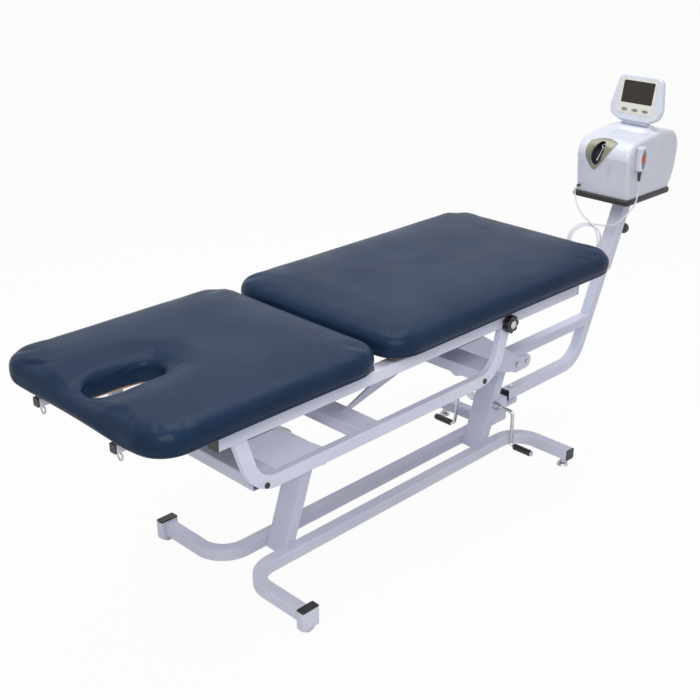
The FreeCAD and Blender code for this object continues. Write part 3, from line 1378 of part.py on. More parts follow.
def hand_switch():
    """Patient's stop switch, standing in its clip on the near side of the case."""
    x = (SWITCH_X - SWITCH_WIDTH / 2, SWITCH_X + SWITCH_WIDTH / 2)
    y = (SWITCH_Y - SWITCH_DEPTH / 2, SWITCH_Y + SWITCH_DEPTH / 2)
    body = box(x, y, SWITCH_Z)
    body = body.makeFillet(SWITCH_ROUND, body.Edges)
    return body.cut(switch_bar(SEAT, stop_floor(), SWITCH_DEPTH))


def stop_floor():
    """Y of the floor of the stop button's well."""
    return SWITCH_Y - SWITCH_DEPTH / 2 + STOP_THICK


def lead_end():
    """Where the lead enters the switch's strain relief."""
    return Vec(SWITCH_X, SWITCH_Y, SWITCH_Z[0] - RELIEF_LENGTH)


def unit_fittings():
    """Dark fittings of the unit: port cup, lead plug and the switch's strain relief."""
    tip = Vec(*PLUG_TIP)
    plug = rod(tip, tip + ALONG * 60, PLUG_BODY_R).cut(case_skin(0)).Solids[0]
    relief = Part.makeCone(LEAD_R * 1.8, LEAD_R * 2.8, RELIEF_LENGTH, lead_end())
    return [port_cup(), plug, relief]


def coil_axes():
    """Directions of the hanging coil: across it, and along its axis towards the head end."""
    across = Vec(COIL_ACROSS[0], COIL_ACROSS[1], 0).normalize()
    return across, UP.cross(across) * -1


def coil_point(turn):
    """Point of the coil after a number of turns from its start, clockwise seen from the head end."""
    across, axis = coil_axes()
    angle = math.radians(COIL_START) - 2 * math.pi * turn
    growth = min(turn, 1.0)
    radius = COIL_R[0] + (COIL_R[1] - COIL_R[0]) * growth * growth * (3 - 2 * growth)
    shift = axis * (COIL_PITCH * (COIL_TURNS / 2 - turn))
    return Vec(*COIL_CENTRE) + across * (radius * math.cos(angle)) + UP * (radius * math.sin(angle)) + shift


def coil_heading(turn):
    """Direction of the coil's wire after a number of turns."""
    small = 0.001
    return (coil_point(turn + small) - coil_point(turn - small)).normalize()


def tangent_arc(begin, corner, end):
    """Arc that leaves one point towards a corner and arrives at another from it."""
    weight = (end - begin).Length / (2 * (corner - begin).Length)
    middle = (begin + corner * (2 * weight) + end) * (1 / (2 + 2 * weight))
    return Part.Arc(begin, middle, end).toShape()


def biarc(first, last):
    """Two tangent arcs that join the coil's wire between two turn counts."""
    begin, end = coil_point(first), coil_point(last)
    leave, arrive = coil_heading(first), coil_heading(last)
    span = end - begin
    square = 2 * (leave.dot(arrive) - 1)
    linear = -2 * span.dot(leave + arrive)
    reach = (-linear - math.sqrt(linear * linear - 4 * square * span.dot(span))) / (2 * square)
    early = begin + leave * reach
    late = end - arrive * reach
    join = (early + late) * 0.5
    return [tangent_arc(begin, early, join), tangent_arc(join, late, end)]


def coil_ends():
    """Ends of the coil's tube, each a straight wire's width past the wound part."""
    straight = 2 * LEAD_R
    begin = coil_point(0) - coil_heading(0) * straight
    end = coil_point(COIL_TURNS) + coil_heading(COIL_TURNS) * straight
    return begin, end


def coil():
    """Hanging coil of the lead, wound as one tube."""
    begin, end = coil_ends()
    steps = math.ceil(4 * COIL_TURNS)
    edges = [Part.LineSegment(begin, coil_point(0)).toShape()]
    for step in range(steps):
        edges += biarc(COIL_TURNS * step / steps, COIL_TURNS * (step + 1) / steps)
    edges.append(Part.LineSegment(coil_point(COIL_TURNS), end).toShape())
    spine = Part.Wire(edges)
    section = Part.Wire(Part.makeCircle(LEAD_R, begin, coil_heading(0)))
    tube = spine.makePipeShell([section], True, False)
    spots = [coil_point(COIL_TURNS * step / 240) for step in range(241)]
    gaps = [(spots[a] - spots[b]).Length for a in range(241) for b in range(a + 30, 241)]
    print("coil length", round(spine.Length), "least gap to itself", round(min(gaps) - 2 * LEAD_R, 2))
    print("coil volume share", round(tube.Volume / (math.pi * LEAD_R ** 2 * spine.Length), 4))
    return tube


def lead_stretch(points):
    """Free stretch of the lead: straight runs joined by arcs as large as the runs allow."""
    radii = []
    for before, corner, after in zip(points, points[1:], points[2:]):
        runs = [(corner - before).Length, (after - corner).Length]
        turn = (corner - before).getAngle(after - corner)
        radii.append(0.45 * min(runs) / math.tan(turn / 2))
    spine = path(points, radii)
    section = Part.Wire(Part.makeCircle(LEAD_R, points[0], points[1] - points[0]))
    tube = spine.makePipeShell([section], True, False)
    print("lead radii", [round(radius, 1) for radius in radii], "length", round(spine.Length))
    print("lead volume share", round(tube.Volume / (math.pi * LEAD_R ** 2 * spine.Length), 4))
    return tube


def make_unit():
    """Traction unit, display pod, hand switch and lead."""
    fittings = unit_fittings()
    put("unit_case", case_shell())
    put("port_bezel", bezel())
    put("unit_fittings", Part.makeCompound(fittings))
    put("rope_hook", rope_hook(fittings[0]))
    put("rope_drum", drum())
    put("drum_drive", drive())
    put("display_pod", pod_shell())
    put("display_panel", pod_panel())
    put("display_screen", screen_plate(SCREEN_THICK))
    for name, step in (("left", -1), ("middle", 0), ("right", 1)):
        put("display_button_" + name, button_bar(step, 0, button_floor() + 2 * BUTTON_TRAVEL, BUTTON_THICK))
    put("hand_switch", hand_switch())
    put("stop_button", switch_bar(0, stop_floor() - 2 * BUTTON_TRAVEL, STOP_THICK))
    begin, end = coil_ends()
    approach = begin - coil_heading(0) * COIL_ENTRY
    upper = [Vec(*PLUG_TIP)] + [Vec(*point) for point in UPPER_LEAD] + [approach, begin]
    put("lead_upper", lead_stretch(upper))
    put("lead_coil", coil())
    put("lead_lower", lead_stretch([end] + [Vec(*point) for point in LOWER_LEAD] + [lead_end()]))


os.makedirs("parts", exist_ok=True)
print("middle of the table at", round(middle_x(), 3))
make_base()
make_lift()
make_cradle()
make_bed()
make_cushions()
make_mast()
make_unit()
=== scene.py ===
"""Dressed scene of a traction table: its finishes, cushions, lead, small trim, studio and camera."""

import logging
import math
from dataclasses import dataclass
from enum import Enum

import bmesh
import bpy
from bpy.types import ID, Material, Node, NodeSocket, NodeTree, Object
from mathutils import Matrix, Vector, noise


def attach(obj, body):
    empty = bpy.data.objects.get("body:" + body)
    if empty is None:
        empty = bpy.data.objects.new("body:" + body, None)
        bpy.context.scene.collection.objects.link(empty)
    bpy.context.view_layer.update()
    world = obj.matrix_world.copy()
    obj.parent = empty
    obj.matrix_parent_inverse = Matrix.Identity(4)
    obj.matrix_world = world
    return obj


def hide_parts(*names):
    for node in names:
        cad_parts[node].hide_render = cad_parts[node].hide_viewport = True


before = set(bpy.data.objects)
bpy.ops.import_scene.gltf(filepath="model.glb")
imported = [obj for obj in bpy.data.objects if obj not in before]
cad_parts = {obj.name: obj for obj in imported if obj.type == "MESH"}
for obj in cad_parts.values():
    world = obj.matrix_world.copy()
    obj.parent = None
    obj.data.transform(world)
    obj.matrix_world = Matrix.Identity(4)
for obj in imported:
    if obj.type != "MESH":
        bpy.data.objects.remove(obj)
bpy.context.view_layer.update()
LOG = logging.getLogger("traction_table")

Pair = tuple[float, float]
Triple = tuple[float, float, float]
Colour = Triple
Point = Triple

MIDDLE_X = 322.264
COAT_ROUGHNESS = 0.12
RELIEF_STRENGTH = 0.6
RUB_RADIUS = 0.0025
RUB_TONE: Colour = (0.55, 0.55, 0.58)
DUST_REACH = 0.16
DUST_TONE: Colour = (0.46, 0.44, 0.42)


def place(x: float, y: float, z: float) -> Vector:
    """Turn workshop millimetres into the frame's metres.

    Args:
        x: Distance along the couch from the workshop datum, in millimetres.
        y: Distance across the couch, in millimetres.
        z: Height above the floor, in millimetres.

    Returns:
        The point in metres.
    """
    return Vector((x - MIDDLE_X, y, z)) / 1000.0


def smooth_step(value: float) -> float:
    """Ease a value from 0 to 1 with level ends.

    Args:
        value: Any number; it is held between 0 and 1 first.

    Returns:
        The eased value.
    """
    held = min(max(value, 0.0), 1.0)
    return held * held * (3.0 - 2.0 * held)


def add_object(name: str, data: ID) -> Object:
    """Put a new object into the scene.

    Args:
        name: Name of the object.
        data: Its mesh, curve, light or camera.

    Returns:
        The object.
    """
    made = bpy.data.objects.new(name, data)
    bpy.context.scene.collection.objects.link(made)
    return made


def coordinates(tree: NodeTree) -> NodeSocket:
    """Add the coordinates of a piece in metres, as every scale here is per metre.

    Args:
        tree: Node tree to add to.

    Returns:
        The socket that gives the coordinates.
    """
    return tree.nodes.new("ShaderNodeTexCoord").outputs["Object"]


def combine(tree: NodeTree, operation: str, first: NodeSocket, second: NodeSocket) -> NodeSocket:
    """Add a node that makes one value of two.

    Args:
        tree: Node tree to add to.
        operation: What is done with the values.
        first: Socket of one value.
        second: Socket of the other value.

    Returns:
        The socket of the result.
    """
    node = tree.nodes.new("ShaderNodeMath")
    node.operation = operation
    tree.links.new(first, node.inputs[0])
    tree.links.new(second, node.inputs[1])
    return node.outputs["Value"]


class Effect(Enum):
    """Surface effects that several finishes share, each one shader node group."""

    GRAIN = "fine_grain"
    DRIFT = "tone_drift"
    DUST = "floor_dust"
    RUBBED = "rubbed_edges"
    PEBBLE = "pebbled_skin"


class Pattern(Enum):
    """What the relief and colour of a finish are made of."""

    PLAIN = "plain"
    PEBBLED = "pebbled"
    LAYERED = "layered"


@dataclass(frozen=True)
class Finish:
    """One surface finish, with lengths in metres and scales in features per metre."""

    slot: str
    light: Colour
    dark: Colour
    smooth: float
    rough: float
    grain: float
    relief: float
    metallic: float = 0.0
    coat: float = 0.0
    drift: float = 4.0
    dust: float = 0.0
    rubbed: float = 0.0
    specular: float = 0.5
    stretch: Triple = (1.0, 1.0, 1.0)
    pattern: Pattern = Pattern.PLAIN


FRAME_WHITE = Finish(
    slot="frame_white",
    light=(0.70, 0.73, 0.87),
    dark=(0.62, 0.65, 0.80),
    smooth=0.30,
    rough=0.46,
    grain=700.0,
    relief=0.00008,
    dust=0.16,
    rubbed=0.30,
)
STEEL = Finish(
    slot="steel",
    light=(0.66, 0.66, 0.68),
    dark=(0.46, 0.46, 0.49),
    smooth=0.20,
    rough=0.40,
    grain=260.0,
    relief=0.00004,
    metallic=1.0,
    drift=30.0,
    stretch=(1.0, 8.0, 1.0),
)
BLACK_PLASTIC = Finish(
    slot="black_plastic",
    light=(0.020, 0.020, 0.025),
    dark=(0.010, 0.010, 0.013),
    smooth=0.34,
    rough=0.52,
    grain=900.0,
    relief=0.00006,
    drift=20.0,
    rubbed=0.06,
    pattern=Pattern.PEBBLED,
)
DARK_GREY = Finish(
    slot="dark_grey",
    light=(0.045, 0.055, 0.065),
    dark=(0.018, 0.024, 0.030),
    smooth=0.30,
    rough=0.48,
    grain=1100.0,
    relief=0.00005,
    drift=30.0,
)
WHEEL_GREY = Finish(
    slot="wheel_grey",
    light=(0.70, 0.70, 0.74),
    dark=(0.58, 0.58, 0.62),
    smooth=0.34,
    rough=0.50,
    grain=600.0,
    relief=0.00005,
    drift=25.0,
    dust=0.25,
)
VINYL_NAVY = Finish(
    slot="vinyl_navy",
    light=(0.009, 0.026, 0.064),
    dark=(0.006, 0.019, 0.052),
    smooth=0.34,
    rough=0.46,
    grain=620.0,
    relief=0.00016,
    drift=5.0,
    specular=0.12,
    pattern=Pattern.PEBBLED,
)
PLYWOOD = Finish(
    slot="plywood",
    light=(0.62, 0.46, 0.28),
    dark=(0.40, 0.26, 0.14),
    smooth=0.55,
    rough=0.75,
    grain=300.0,
    relief=0.00015,
    stretch=(0.12, 1.0, 1.0),
    pattern=Pattern.LAYERED,
)
UNIT_WHITE = Finish(
    slot="unit_white",
    light=(0.67, 0.70, 0.79),
    dark=(0.61, 0.64, 0.74),
    smooth=0.20,
    rough=0.30,
    grain=800.0,
    relief=0.00003,
    coat=0.25,
    drift=9.0,
    rubbed=0.08,
)
BEZEL_OLIVE = Finish(
    slot="bezel_olive",
    light=(0.30, 0.29, 0.22),
    dark=(0.17, 0.17, 0.13),
    smooth=0.24,
    rough=0.38,
    grain=1400.0,
    relief=0.00003,
    metallic=0.55,
    coat=0.3,
    drift=18.0,
)
HOOK_CHROME = Finish(
    slot="hook_chrome",
    light=(0.82, 0.82, 0.84),
    dark=(0.62, 0.62, 0.66),
    smooth=0.08,
    rough=0.20,
    grain=500.0,
    relief=0.00002,
    metallic=1.0,
    drift=60.0,
)
DRIVE_ALUMINIUM = Finish(
    slot="drive_aluminium",
    light=(0.68, 0.69, 0.71),
    dark=(0.52, 0.53, 0.56),
    smooth=0.28,
    rough=0.46,
    grain=400.0,
    relief=0.00004,
    metallic=1.0,
    drift=25.0,
    stretch=(1.0, 10.0, 1.0),
)
PANEL_CREAM = Finish(
    slot="panel_cream",
    light=(0.74, 0.73, 0.66),
    dark=(0.68, 0.66, 0.58),
    smooth=0.34,
    rough=0.50,
    grain=1500.0,
    relief=0.00003,
    drift=25.0,
)
SCREEN_DARK = Finish(
    slot="screen_dark",
    light=(0.024, 0.019, 0.015),
    dark=(0.016, 0.013, 0.011),
    smooth=0.10,
    rough=0.20,
    grain=1800.0,
    relief=0.00001,
    coat=0.25,
    drift=12.0,
    specular=0.25,
)
BUTTON_GREY = Finish(
    slot="button_grey",
    light=(0.26, 0.27, 0.30),
    dark=(0.19, 0.20, 0.23),
    smooth=0.32,
    rough=0.46,
    grain=1600.0,
    relief=0.00003,
    drift=60.0,
)
STOP_RED = Finish(
    slot="stop_red",
    light=(0.80, 0.075, 0.022),
    dark=(0.62, 0.045, 0.014),
    smooth=0.26,
    rough=0.40,
    grain=1600.0,
    relief=0.00003,
    coat=0.2,
    drift=60.0,
)
LEAD_WHITE = Finish(
    slot="lead_white",
    light=(0.80, 0.80, 0.85),
    dark=(0.71, 0.71, 0.78),
    smooth=0.34,
    rough=0.50,
    grain=1200.0,
    relief=0.00003,
    drift=14.0,
)

FINISHES: dict[Finish, tuple[str, ...]] = {
    FRAME_WHITE: (
        "base_rail_near", "base_rail_far", "legs", "gear_housing", "caster_boxes", "inner_legs",
        "cradle_near", "cradle_far", "ear_saddles", "leg_ears", "cradle_braces",
        "bed_rail_near", "bed_rail_far", "bed_cross_members", "roller_tracks", "head_tubes",
        "lumbar_carriage", "mast_frame", "mast_sleeve",
    ),
    STEEL: (
        "caster_axles", "crank_bearings", "crank_bar", "lift_screw", "frame_bolts", "eye_bolts",
        "levelling_foot_near", "levelling_foot_far",
    ),
    BLACK_PLASTIC: (
        "base_caps", "bed_caps", "star_knob", "mast_knob", "unit_shelf",
        "crank_grip_near", "crank_grip_far",
    ),
    DARK_GREY: ("unit_fittings",),
    WHEEL_GREY: ("caster_wheel_near", "caster_wheel_far", "roller_front", "roller_rear"),
    PLYWOOD: ("head_board", "lumbar_board"),
    UNIT_WHITE: ("unit_case", "display_pod", "hand_switch"),
    BEZEL_OLIVE: ("port_bezel",),
    HOOK_CHROME: ("rope_hook",),
    DRIVE_ALUMINIUM: ("rope_drum", "drum_drive"),
    PANEL_CREAM: ("display_panel",),
    SCREEN_DARK: ("display_screen",),
    BUTTON_GREY: ("display_button_left", "display_button_middle", "display_button_right"),
    STOP_RED: ("stop_button",),
}


class EffectShelf:
    """Builds each shared node group the first time that a finish asks for it."""

    def __init__(self) -> None:
        """Start with an empty shelf."""
        self.groups: dict[Effect, NodeTree] = {}

    def get(self, effect: Effect) -> NodeTree:
        """Fetch the node group of an effect, building it if need be.

        Args:
            effect: Which effect is wanted.

        Returns:
            The node group.
        """
        if effect not in self.groups:
            builders = {
                Effect.GRAIN: self.build_grain,
                Effect.DRIFT: self.build_drift,
                Effect.DUST: self.build_dust,
                Effect.RUBBED: self.build_rubbed,
                Effect.PEBBLE: self.build_pebble,
            }
            self.groups[effect] = builders[effect]()
        return self.groups[effect]

    def start(self, effect: Effect, inputs: dict[str, str], outputs: dict[str, str]) -> NodeTree:
        """Make an empty node group with its sockets and two end nodes.

        Args:
            effect: Which effect the group is for.
            inputs: Socket type of each named input.
            outputs: Socket type of each named output.

        Returns:
            The node group, with nodes named "in" and "out".
        """
        tree = bpy.data.node_groups.new(effect.value, "ShaderNodeTree")
        for title, kind in inputs.items():
            tree.interface.new_socket(name=title, in_out="INPUT", socket_type=kind)
        for title, kind in outputs.items():
            tree.interface.new_socket(name=title, in_out="OUTPUT", socket_type=kind)
        tree.nodes.new("NodeGroupInput").name = "in"
        tree.nodes.new("NodeGroupOutput").name = "out"
        return tree

    def noise_texture(self, tree: NodeTree, detail: float, scale: float = 1.0) -> Node:
        """Add a noise texture.

        Args:
            tree: Node group to add to.
            detail: How many finer layers the noise has.
            scale: Features per metre, where no input of the group sets it.

        Returns:
            The texture node.
        """
        node = tree.nodes.new("ShaderNodeTexNoise")
        node.inputs["Detail"].default_value = detail
        node.inputs["Scale"].default_value = scale
        return node

    def spread(self, tree: NodeTree, value: NodeSocket, low: float, high: float) -> Node:
        """Spread the values between two limits over the range from 0 to 1.

        Args:
            tree: Node group to add to.
            value: Socket of the value.
            low: Value that becomes 0.
            high: Value that becomes 1.

        Returns:
            The node that spreads them.
        """
        node = tree.nodes.new("ShaderNodeMapRange")
        node.inputs["From Min"].default_value = low
        node.inputs["From Max"].default_value = high
        tree.links.new(value, node.inputs["Value"])
        return node

    def build_grain(self) -> NodeTree:
        """Make the fine grain that varies roughness and gives relief.

        Returns:
            The node group.
        """
        inputs = {
            "Scale": "NodeSocketFloat",
            "Stretch": "NodeSocketVector",
            "Smooth": "NodeSocketFloat",
            "Rough": "NodeSocketFloat",
        }
        tree = self.start(Effect.GRAIN, inputs, {"Roughness": "NodeSocketFloat", "Height": "NodeSocketFloat"})
        first, last = tree.nodes["in"], tree.nodes["out"]
        pull = tree.nodes.new("ShaderNodeVectorMath")
        pull.operation = "MULTIPLY"
        speckle = self.noise_texture(tree, detail=3.0)
        smear = self.noise_texture(tree, detail=4.0, scale=11.0)
        both = combine(tree, "ADD", speckle.outputs["Fac"], smear.outputs["Fac"])
        spread = self.spread(tree, both, low=0.7, high=1.3)
        link = tree.links.new
        link(coordinates(tree), pull.inputs[0])
        link(first.outputs["Stretch"], pull.inputs[1])
        link(pull.outputs["Vector"], speckle.inputs["Vector"])
        link(pull.outputs["Vector"], smear.inputs["Vector"])
        link(first.outputs["Scale"], speckle.inputs["Scale"])
        link(first.outputs["Smooth"], spread.inputs["To Min"])
        link(first.outputs["Rough"], spread.inputs["To Max"])
        link(spread.outputs["Result"], last.inputs["Roughness"])
        link(speckle.outputs["Fac"], last.inputs["Height"])
        return tree

    def build_drift(self) -> NodeTree:
        """Make the slow drift between two tones of one colour.

        Returns:
            The node group.
        """
        inputs = {"Light": "NodeSocketColor", "Dark": "NodeSocketColor", "Scale": "NodeSocketFloat"}
        tree = self.start(Effect.DRIFT, inputs, {"Color": "NodeSocketColor"})
        first, last = tree.nodes["in"], tree.nodes["out"]
        cloud = self.noise_texture(tree, detail=5.0)
        cloud.inputs["Roughness"].default_value = 0.62
        spread = self.spread(tree, cloud.outputs["Fac"], low=0.36, high=0.66)
        tones = tree.nodes.new("ShaderNodeMix")
        tones.data_type = "RGBA"
        link = tree.links.new
        link(coordinates(tree), cloud.inputs["Vector"])
        link(first.outputs["Scale"], cloud.inputs["Scale"])
        link(spread.outputs["Result"], tones.inputs["Factor"])
        link(first.outputs["Dark"], tones.inputs["A"])
        link(first.outputs["Light"], tones.inputs["B"])
        link(tones.outputs["Result"], last.inputs["Color"])
        return tree

    def build_dust(self) -> NodeTree:
        """Make the dust that gathers on what stands near the floor.

        Returns:
            The node group.
        """
        inputs = {"Reach": "NodeSocketFloat", "Amount": "NodeSocketFloat"}
        tree = self.start(Effect.DUST, inputs, {"Mask": "NodeSocketFloat"})
        first, last = tree.nodes["in"], tree.nodes["out"]
        split = tree.nodes.new("ShaderNodeSeparateXYZ")
        fade = tree.nodes.new("ShaderNodeMapRange")
        fade.inputs["To Min"].default_value = 1.0
        fade.inputs["To Max"].default_value = 0.0
        patches = self.noise_texture(tree, detail=5.0, scale=34.0)
        link = tree.links.new
        spot = coordinates(tree)
        link(spot, split.inputs["Vector"])
        link(spot, patches.inputs["Vector"])
        link(split.outputs["Z"], fade.inputs["Value"])
        link(first.outputs["Reach"], fade.inputs["From Max"])
        broken = combine(tree, "MULTIPLY", fade.outputs["Result"], patches.outputs["Fac"])
        link(combine(tree, "MULTIPLY", broken, first.outputs["Amount"]), last.inputs["Mask"])
        return tree

    def build_rubbed(self) -> NodeTree:
        """Make the mask of edges that hands and straps have rubbed.

        Returns:
            The node group.
        """
        inputs = {"Radius": "NodeSocketFloat", "Amount": "NodeSocketFloat"}
        tree = self.start(Effect.RUBBED, inputs, {"Mask": "NodeSocketFloat"})
        first, last = tree.nodes["in"], tree.nodes["out"]
        eased = tree.nodes.new("ShaderNodeBevel")
        eased.samples = 4
        facing = tree.nodes.new("ShaderNodeNewGeometry")
        agree = tree.nodes.new("ShaderNodeVectorMath")
        agree.operation = "DOT_PRODUCT"
        edge = self.spread(tree, agree.outputs["Value"], low=0.97, high=0.80)
        patches = self.noise_texture(tree, detail=4.0, scale=60.0)
        link = tree.links.new
        link(first.outputs["Radius"], eased.inputs["Radius"])
        link(eased.outputs["Normal"], agree.inputs[0])
        link(facing.outputs["Normal"], agree.inputs[1])
        link(coordinates(tree), patches.inputs["Vector"])
        broken = combine(tree, "MULTIPLY", edge.outputs["Result"], patches.outputs["Fac"])
        link(combine(tree, "MULTIPLY", broken, first.outputs["Amount"]), last.inputs["Mask"])
        return tree

    def build_pebble(self) -> NodeTree:
        """Make the pebbled skin of pressed vinyl and moulded grips.

        Returns:
            The node group.
        """
        tree = self.start(Effect.PEBBLE, {"Scale": "NodeSocketFloat"}, {"Height": "NodeSocketFloat"})
        first, last = tree.nodes["in"], tree.nodes["out"]
        waver = self.noise_texture(tree, detail=3.0, scale=90.0)
        cells = tree.nodes.new("ShaderNodeTexVoronoi")
        cells.feature = "SMOOTH_F1"
        cells.inputs["Smoothness"].default_value = 0.4
        blend = tree.nodes.new("ShaderNodeMath")
        blend.operation = "MULTIPLY_ADD"
        blend.inputs[1].default_value = 0.55
        link = tree.links.new
        spot = coordinates(tree)
        link(spot, waver.inputs["Vector"])
        link(spot, cells.inputs["Vector"])
        link(first.outputs["Scale"], cells.inputs["Scale"])
        link(cells.outputs["Distance"], blend.inputs[0])
        link(waver.outputs["Fac"], blend.inputs[2])
        link(blend.outputs["Value"], last.inputs["Height"])
        return tree


class Painter:
    """Makes the material of each finish once and lays it on the pieces."""

    def __init__(self, shelf: EffectShelf) -> None:
        """Start with no paint mixed.

        Args:
            shelf: Where the shared node groups come from.
        """
        self.shelf = shelf
        self.mixed: dict[Finish, Material] = {}

    def effect(self, tree: NodeTree, effect: Effect, **values: object) -> Node:
        """Place a shared effect in a material with its own values.

        Args:
            tree: Node tree of the material.
            effect: Which effect is placed.
            values: Value of each named input.

        Returns:
            The group node.
        """
        node = tree.nodes.new("ShaderNodeGroup")
        node.node_tree = self.shelf.get(effect)
        for title, value in values.items():
            node.inputs[title].default_value = value
        return node

    def mixed_colour(self, tree: NodeTree, under: NodeSocket, over: Colour, mask: NodeSocket) -> NodeSocket:
        """Lay one colour over another where a mask says so.

        Args:
            tree: Node tree of the material.
            under: Colour socket that lies below.
            over: Colour that lies on top.
            mask: How much of the upper colour shows.

        Returns:
            The socket of the mixed colour.
        """
        mix = tree.nodes.new("ShaderNodeMix")
        mix.data_type = "RGBA"
        mix.inputs["B"].default_value = (*over, 1.0)
        tree.links.new(mask, mix.inputs["Factor"])
        tree.links.new(under, mix.inputs["A"])
        return mix.outputs["Result"]

    def layers(self, tree: NodeTree, finish: Finish, colour: NodeSocket) -> NodeSocket:
        """Add the bands of glued veneers to a colour.

        Args:
            tree: Node tree of the material.
            finish: The finish that is mixed.
            colour: Colour socket of the plain wood.

        Returns:
            The socket of the banded colour.
        """
        bands = tree.nodes.new("ShaderNodeTexWave")
        bands.bands_direction = "Z"
        bands.inputs["Scale"].default_value = 90.0
        bands.inputs["Distortion"].default_value = 2.5
        bands.inputs["Detail"].default_value = 3.0
        tree.links.new(coordinates(tree), bands.inputs["Vector"])
        return self.mixed_colour(tree, colour, finish.dark, bands.outputs["Fac"])

    def material(self, finish: Finish) -> Material:
        """Mix the material of a finish, or fetch it if it is mixed already.

        Args:
            finish: The finish wanted.

        Returns:
            The material.
        """
        if finish in self.mixed:
            return self.mixed[finish]
        made = bpy.data.materials.new(finish.slot)
        made.use_nodes = True
        tree = made.node_tree
        shader = tree.nodes["Principled BSDF"]
        shader.inputs["Metallic"].default_value = finish.metallic
        shader.inputs["Specular IOR Level"].default_value = finish.specular
        shader.inputs["Coat Weight"].default_value = finish.coat
        shader.inputs["Coat Roughness"].default_value = COAT_ROUGHNESS
        grain = self.effect(
            tree,
            Effect.GRAIN,
            Scale=finish.grain,
            Stretch=finish.stretch,
            Smooth=finish.smooth,
            Rough=finish.rough,
        )
        drift = self.effect(
            tree, Effect.DRIFT, Light=(*finish.light, 1.0), Dark=(*finish.dark, 1.0), Scale=finish.drift
        )
        colour = drift.outputs["Color"]
        height = grain.outputs["Height"]
        if finish.pattern is Pattern.LAYERED:
            colour = self.layers(tree, finish, colour)
        if finish.pattern is Pattern.PEBBLED:
            height = self.effect(tree, Effect.PEBBLE, Scale=finish.grain).outputs["Height"]
        if finish.rubbed:
            worn = self.effect(tree, Effect.RUBBED, Radius=RUB_RADIUS, Amount=finish.rubbed)
            colour = self.mixed_colour(tree, colour, RUB_TONE, worn.outputs["Mask"])
        if finish.dust:
            dusty = self.effect(tree, Effect.DUST, Reach=DUST_REACH, Amount=finish.dust)
            colour = self.mixed_colour(tree, colour, DUST_TONE, dusty.outputs["Mask"])
        bump = tree.nodes.new("ShaderNodeBump")
        bump.inputs["Strength"].default_value = RELIEF_STRENGTH
        bump.inputs["Distance"].default_value = finish.relief
        tree.links.new(colour, shader.inputs["Base Color"])
        tree.links.new(grain.outputs["Roughness"], shader.inputs["Roughness"])
        tree.links.new(height, bump.inputs["Height"])
        tree.links.new(bump.outputs["Normal"], shader.inputs["Normal"])
        self.mixed[finish] = made
        return made

    def lay(self, piece: Object, finish: Finish) -> None:
        """Put a finish on a piece in place of whatever it has.

        Args:
            piece: Mesh or curve to paint.
            finish: The finish it gets.
        """
        piece.data.materials.clear()
        piece.data.materials.append(self.material(finish))

    def dress_frame(self) -> None:
        """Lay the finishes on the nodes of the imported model."""
        for finish, nodes in FINISHES.items():
            for name in nodes:
                self.lay(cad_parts[name], finish)
            LOG.info("finish %s on %d nodes", finish.slot, len(nodes))


def settle(piece: Object) -> None:
    """Apply a piece's modifiers to its mesh.

    Args:
        piece: Mesh object whose modifiers become its shape.
    """
    graph = bpy.context.evaluated_depsgraph_get()
    mesh = bpy.data.meshes.new_from_object(piece.evaluated_get(graph))
    before = piece.data
    piece.modifiers.clear()
    piece.data = mesh
    bpy.data.meshes.remove(before)


def mesh_piece(name: str, build: bmesh.types.BMesh) -> Object:
    """Turn a bmesh into a smooth-shaded object in the scene.

    Args:
        name: Name of the new object.
        build: The bmesh, which is freed.

    Returns:
        The new object.
    """
    bmesh.ops.recalc_face_normals(build, faces=build.faces)
    mesh = bpy.data.meshes.new(name)
    build.to_mesh(mesh)
    build.free()
    for face in mesh.polygons:
        face.use_smooth = True
    return add_object(name, mesh)


def skin_rings(build: bmesh.types.BMesh, rings: list[list[Vector]], looped: bool = False) -> None:
    """Join closed rings of points into one closed skin.

    Args:
        build: The bmesh that gets the skin.
        rings: Rings with the same number of points, from one end to the other.
        looped: Whether the last ring joins the first one; if not, both get flat ends.
    """
    loops = [[build.verts.new(point) for point in ring] for ring in rings]
    partners = loops[1:] + loops[:1] if looped else loops[1:]
    for lower, upper in zip(loops, partners):
        for index in range(len(lower)):
            following = (index + 1) % len(lower)
            build.faces.new((lower[index], lower[following], upper[following], upper[index]))
    if not looped:
        build.faces.new(loops[0])
        build.faces.new(loops[-1])


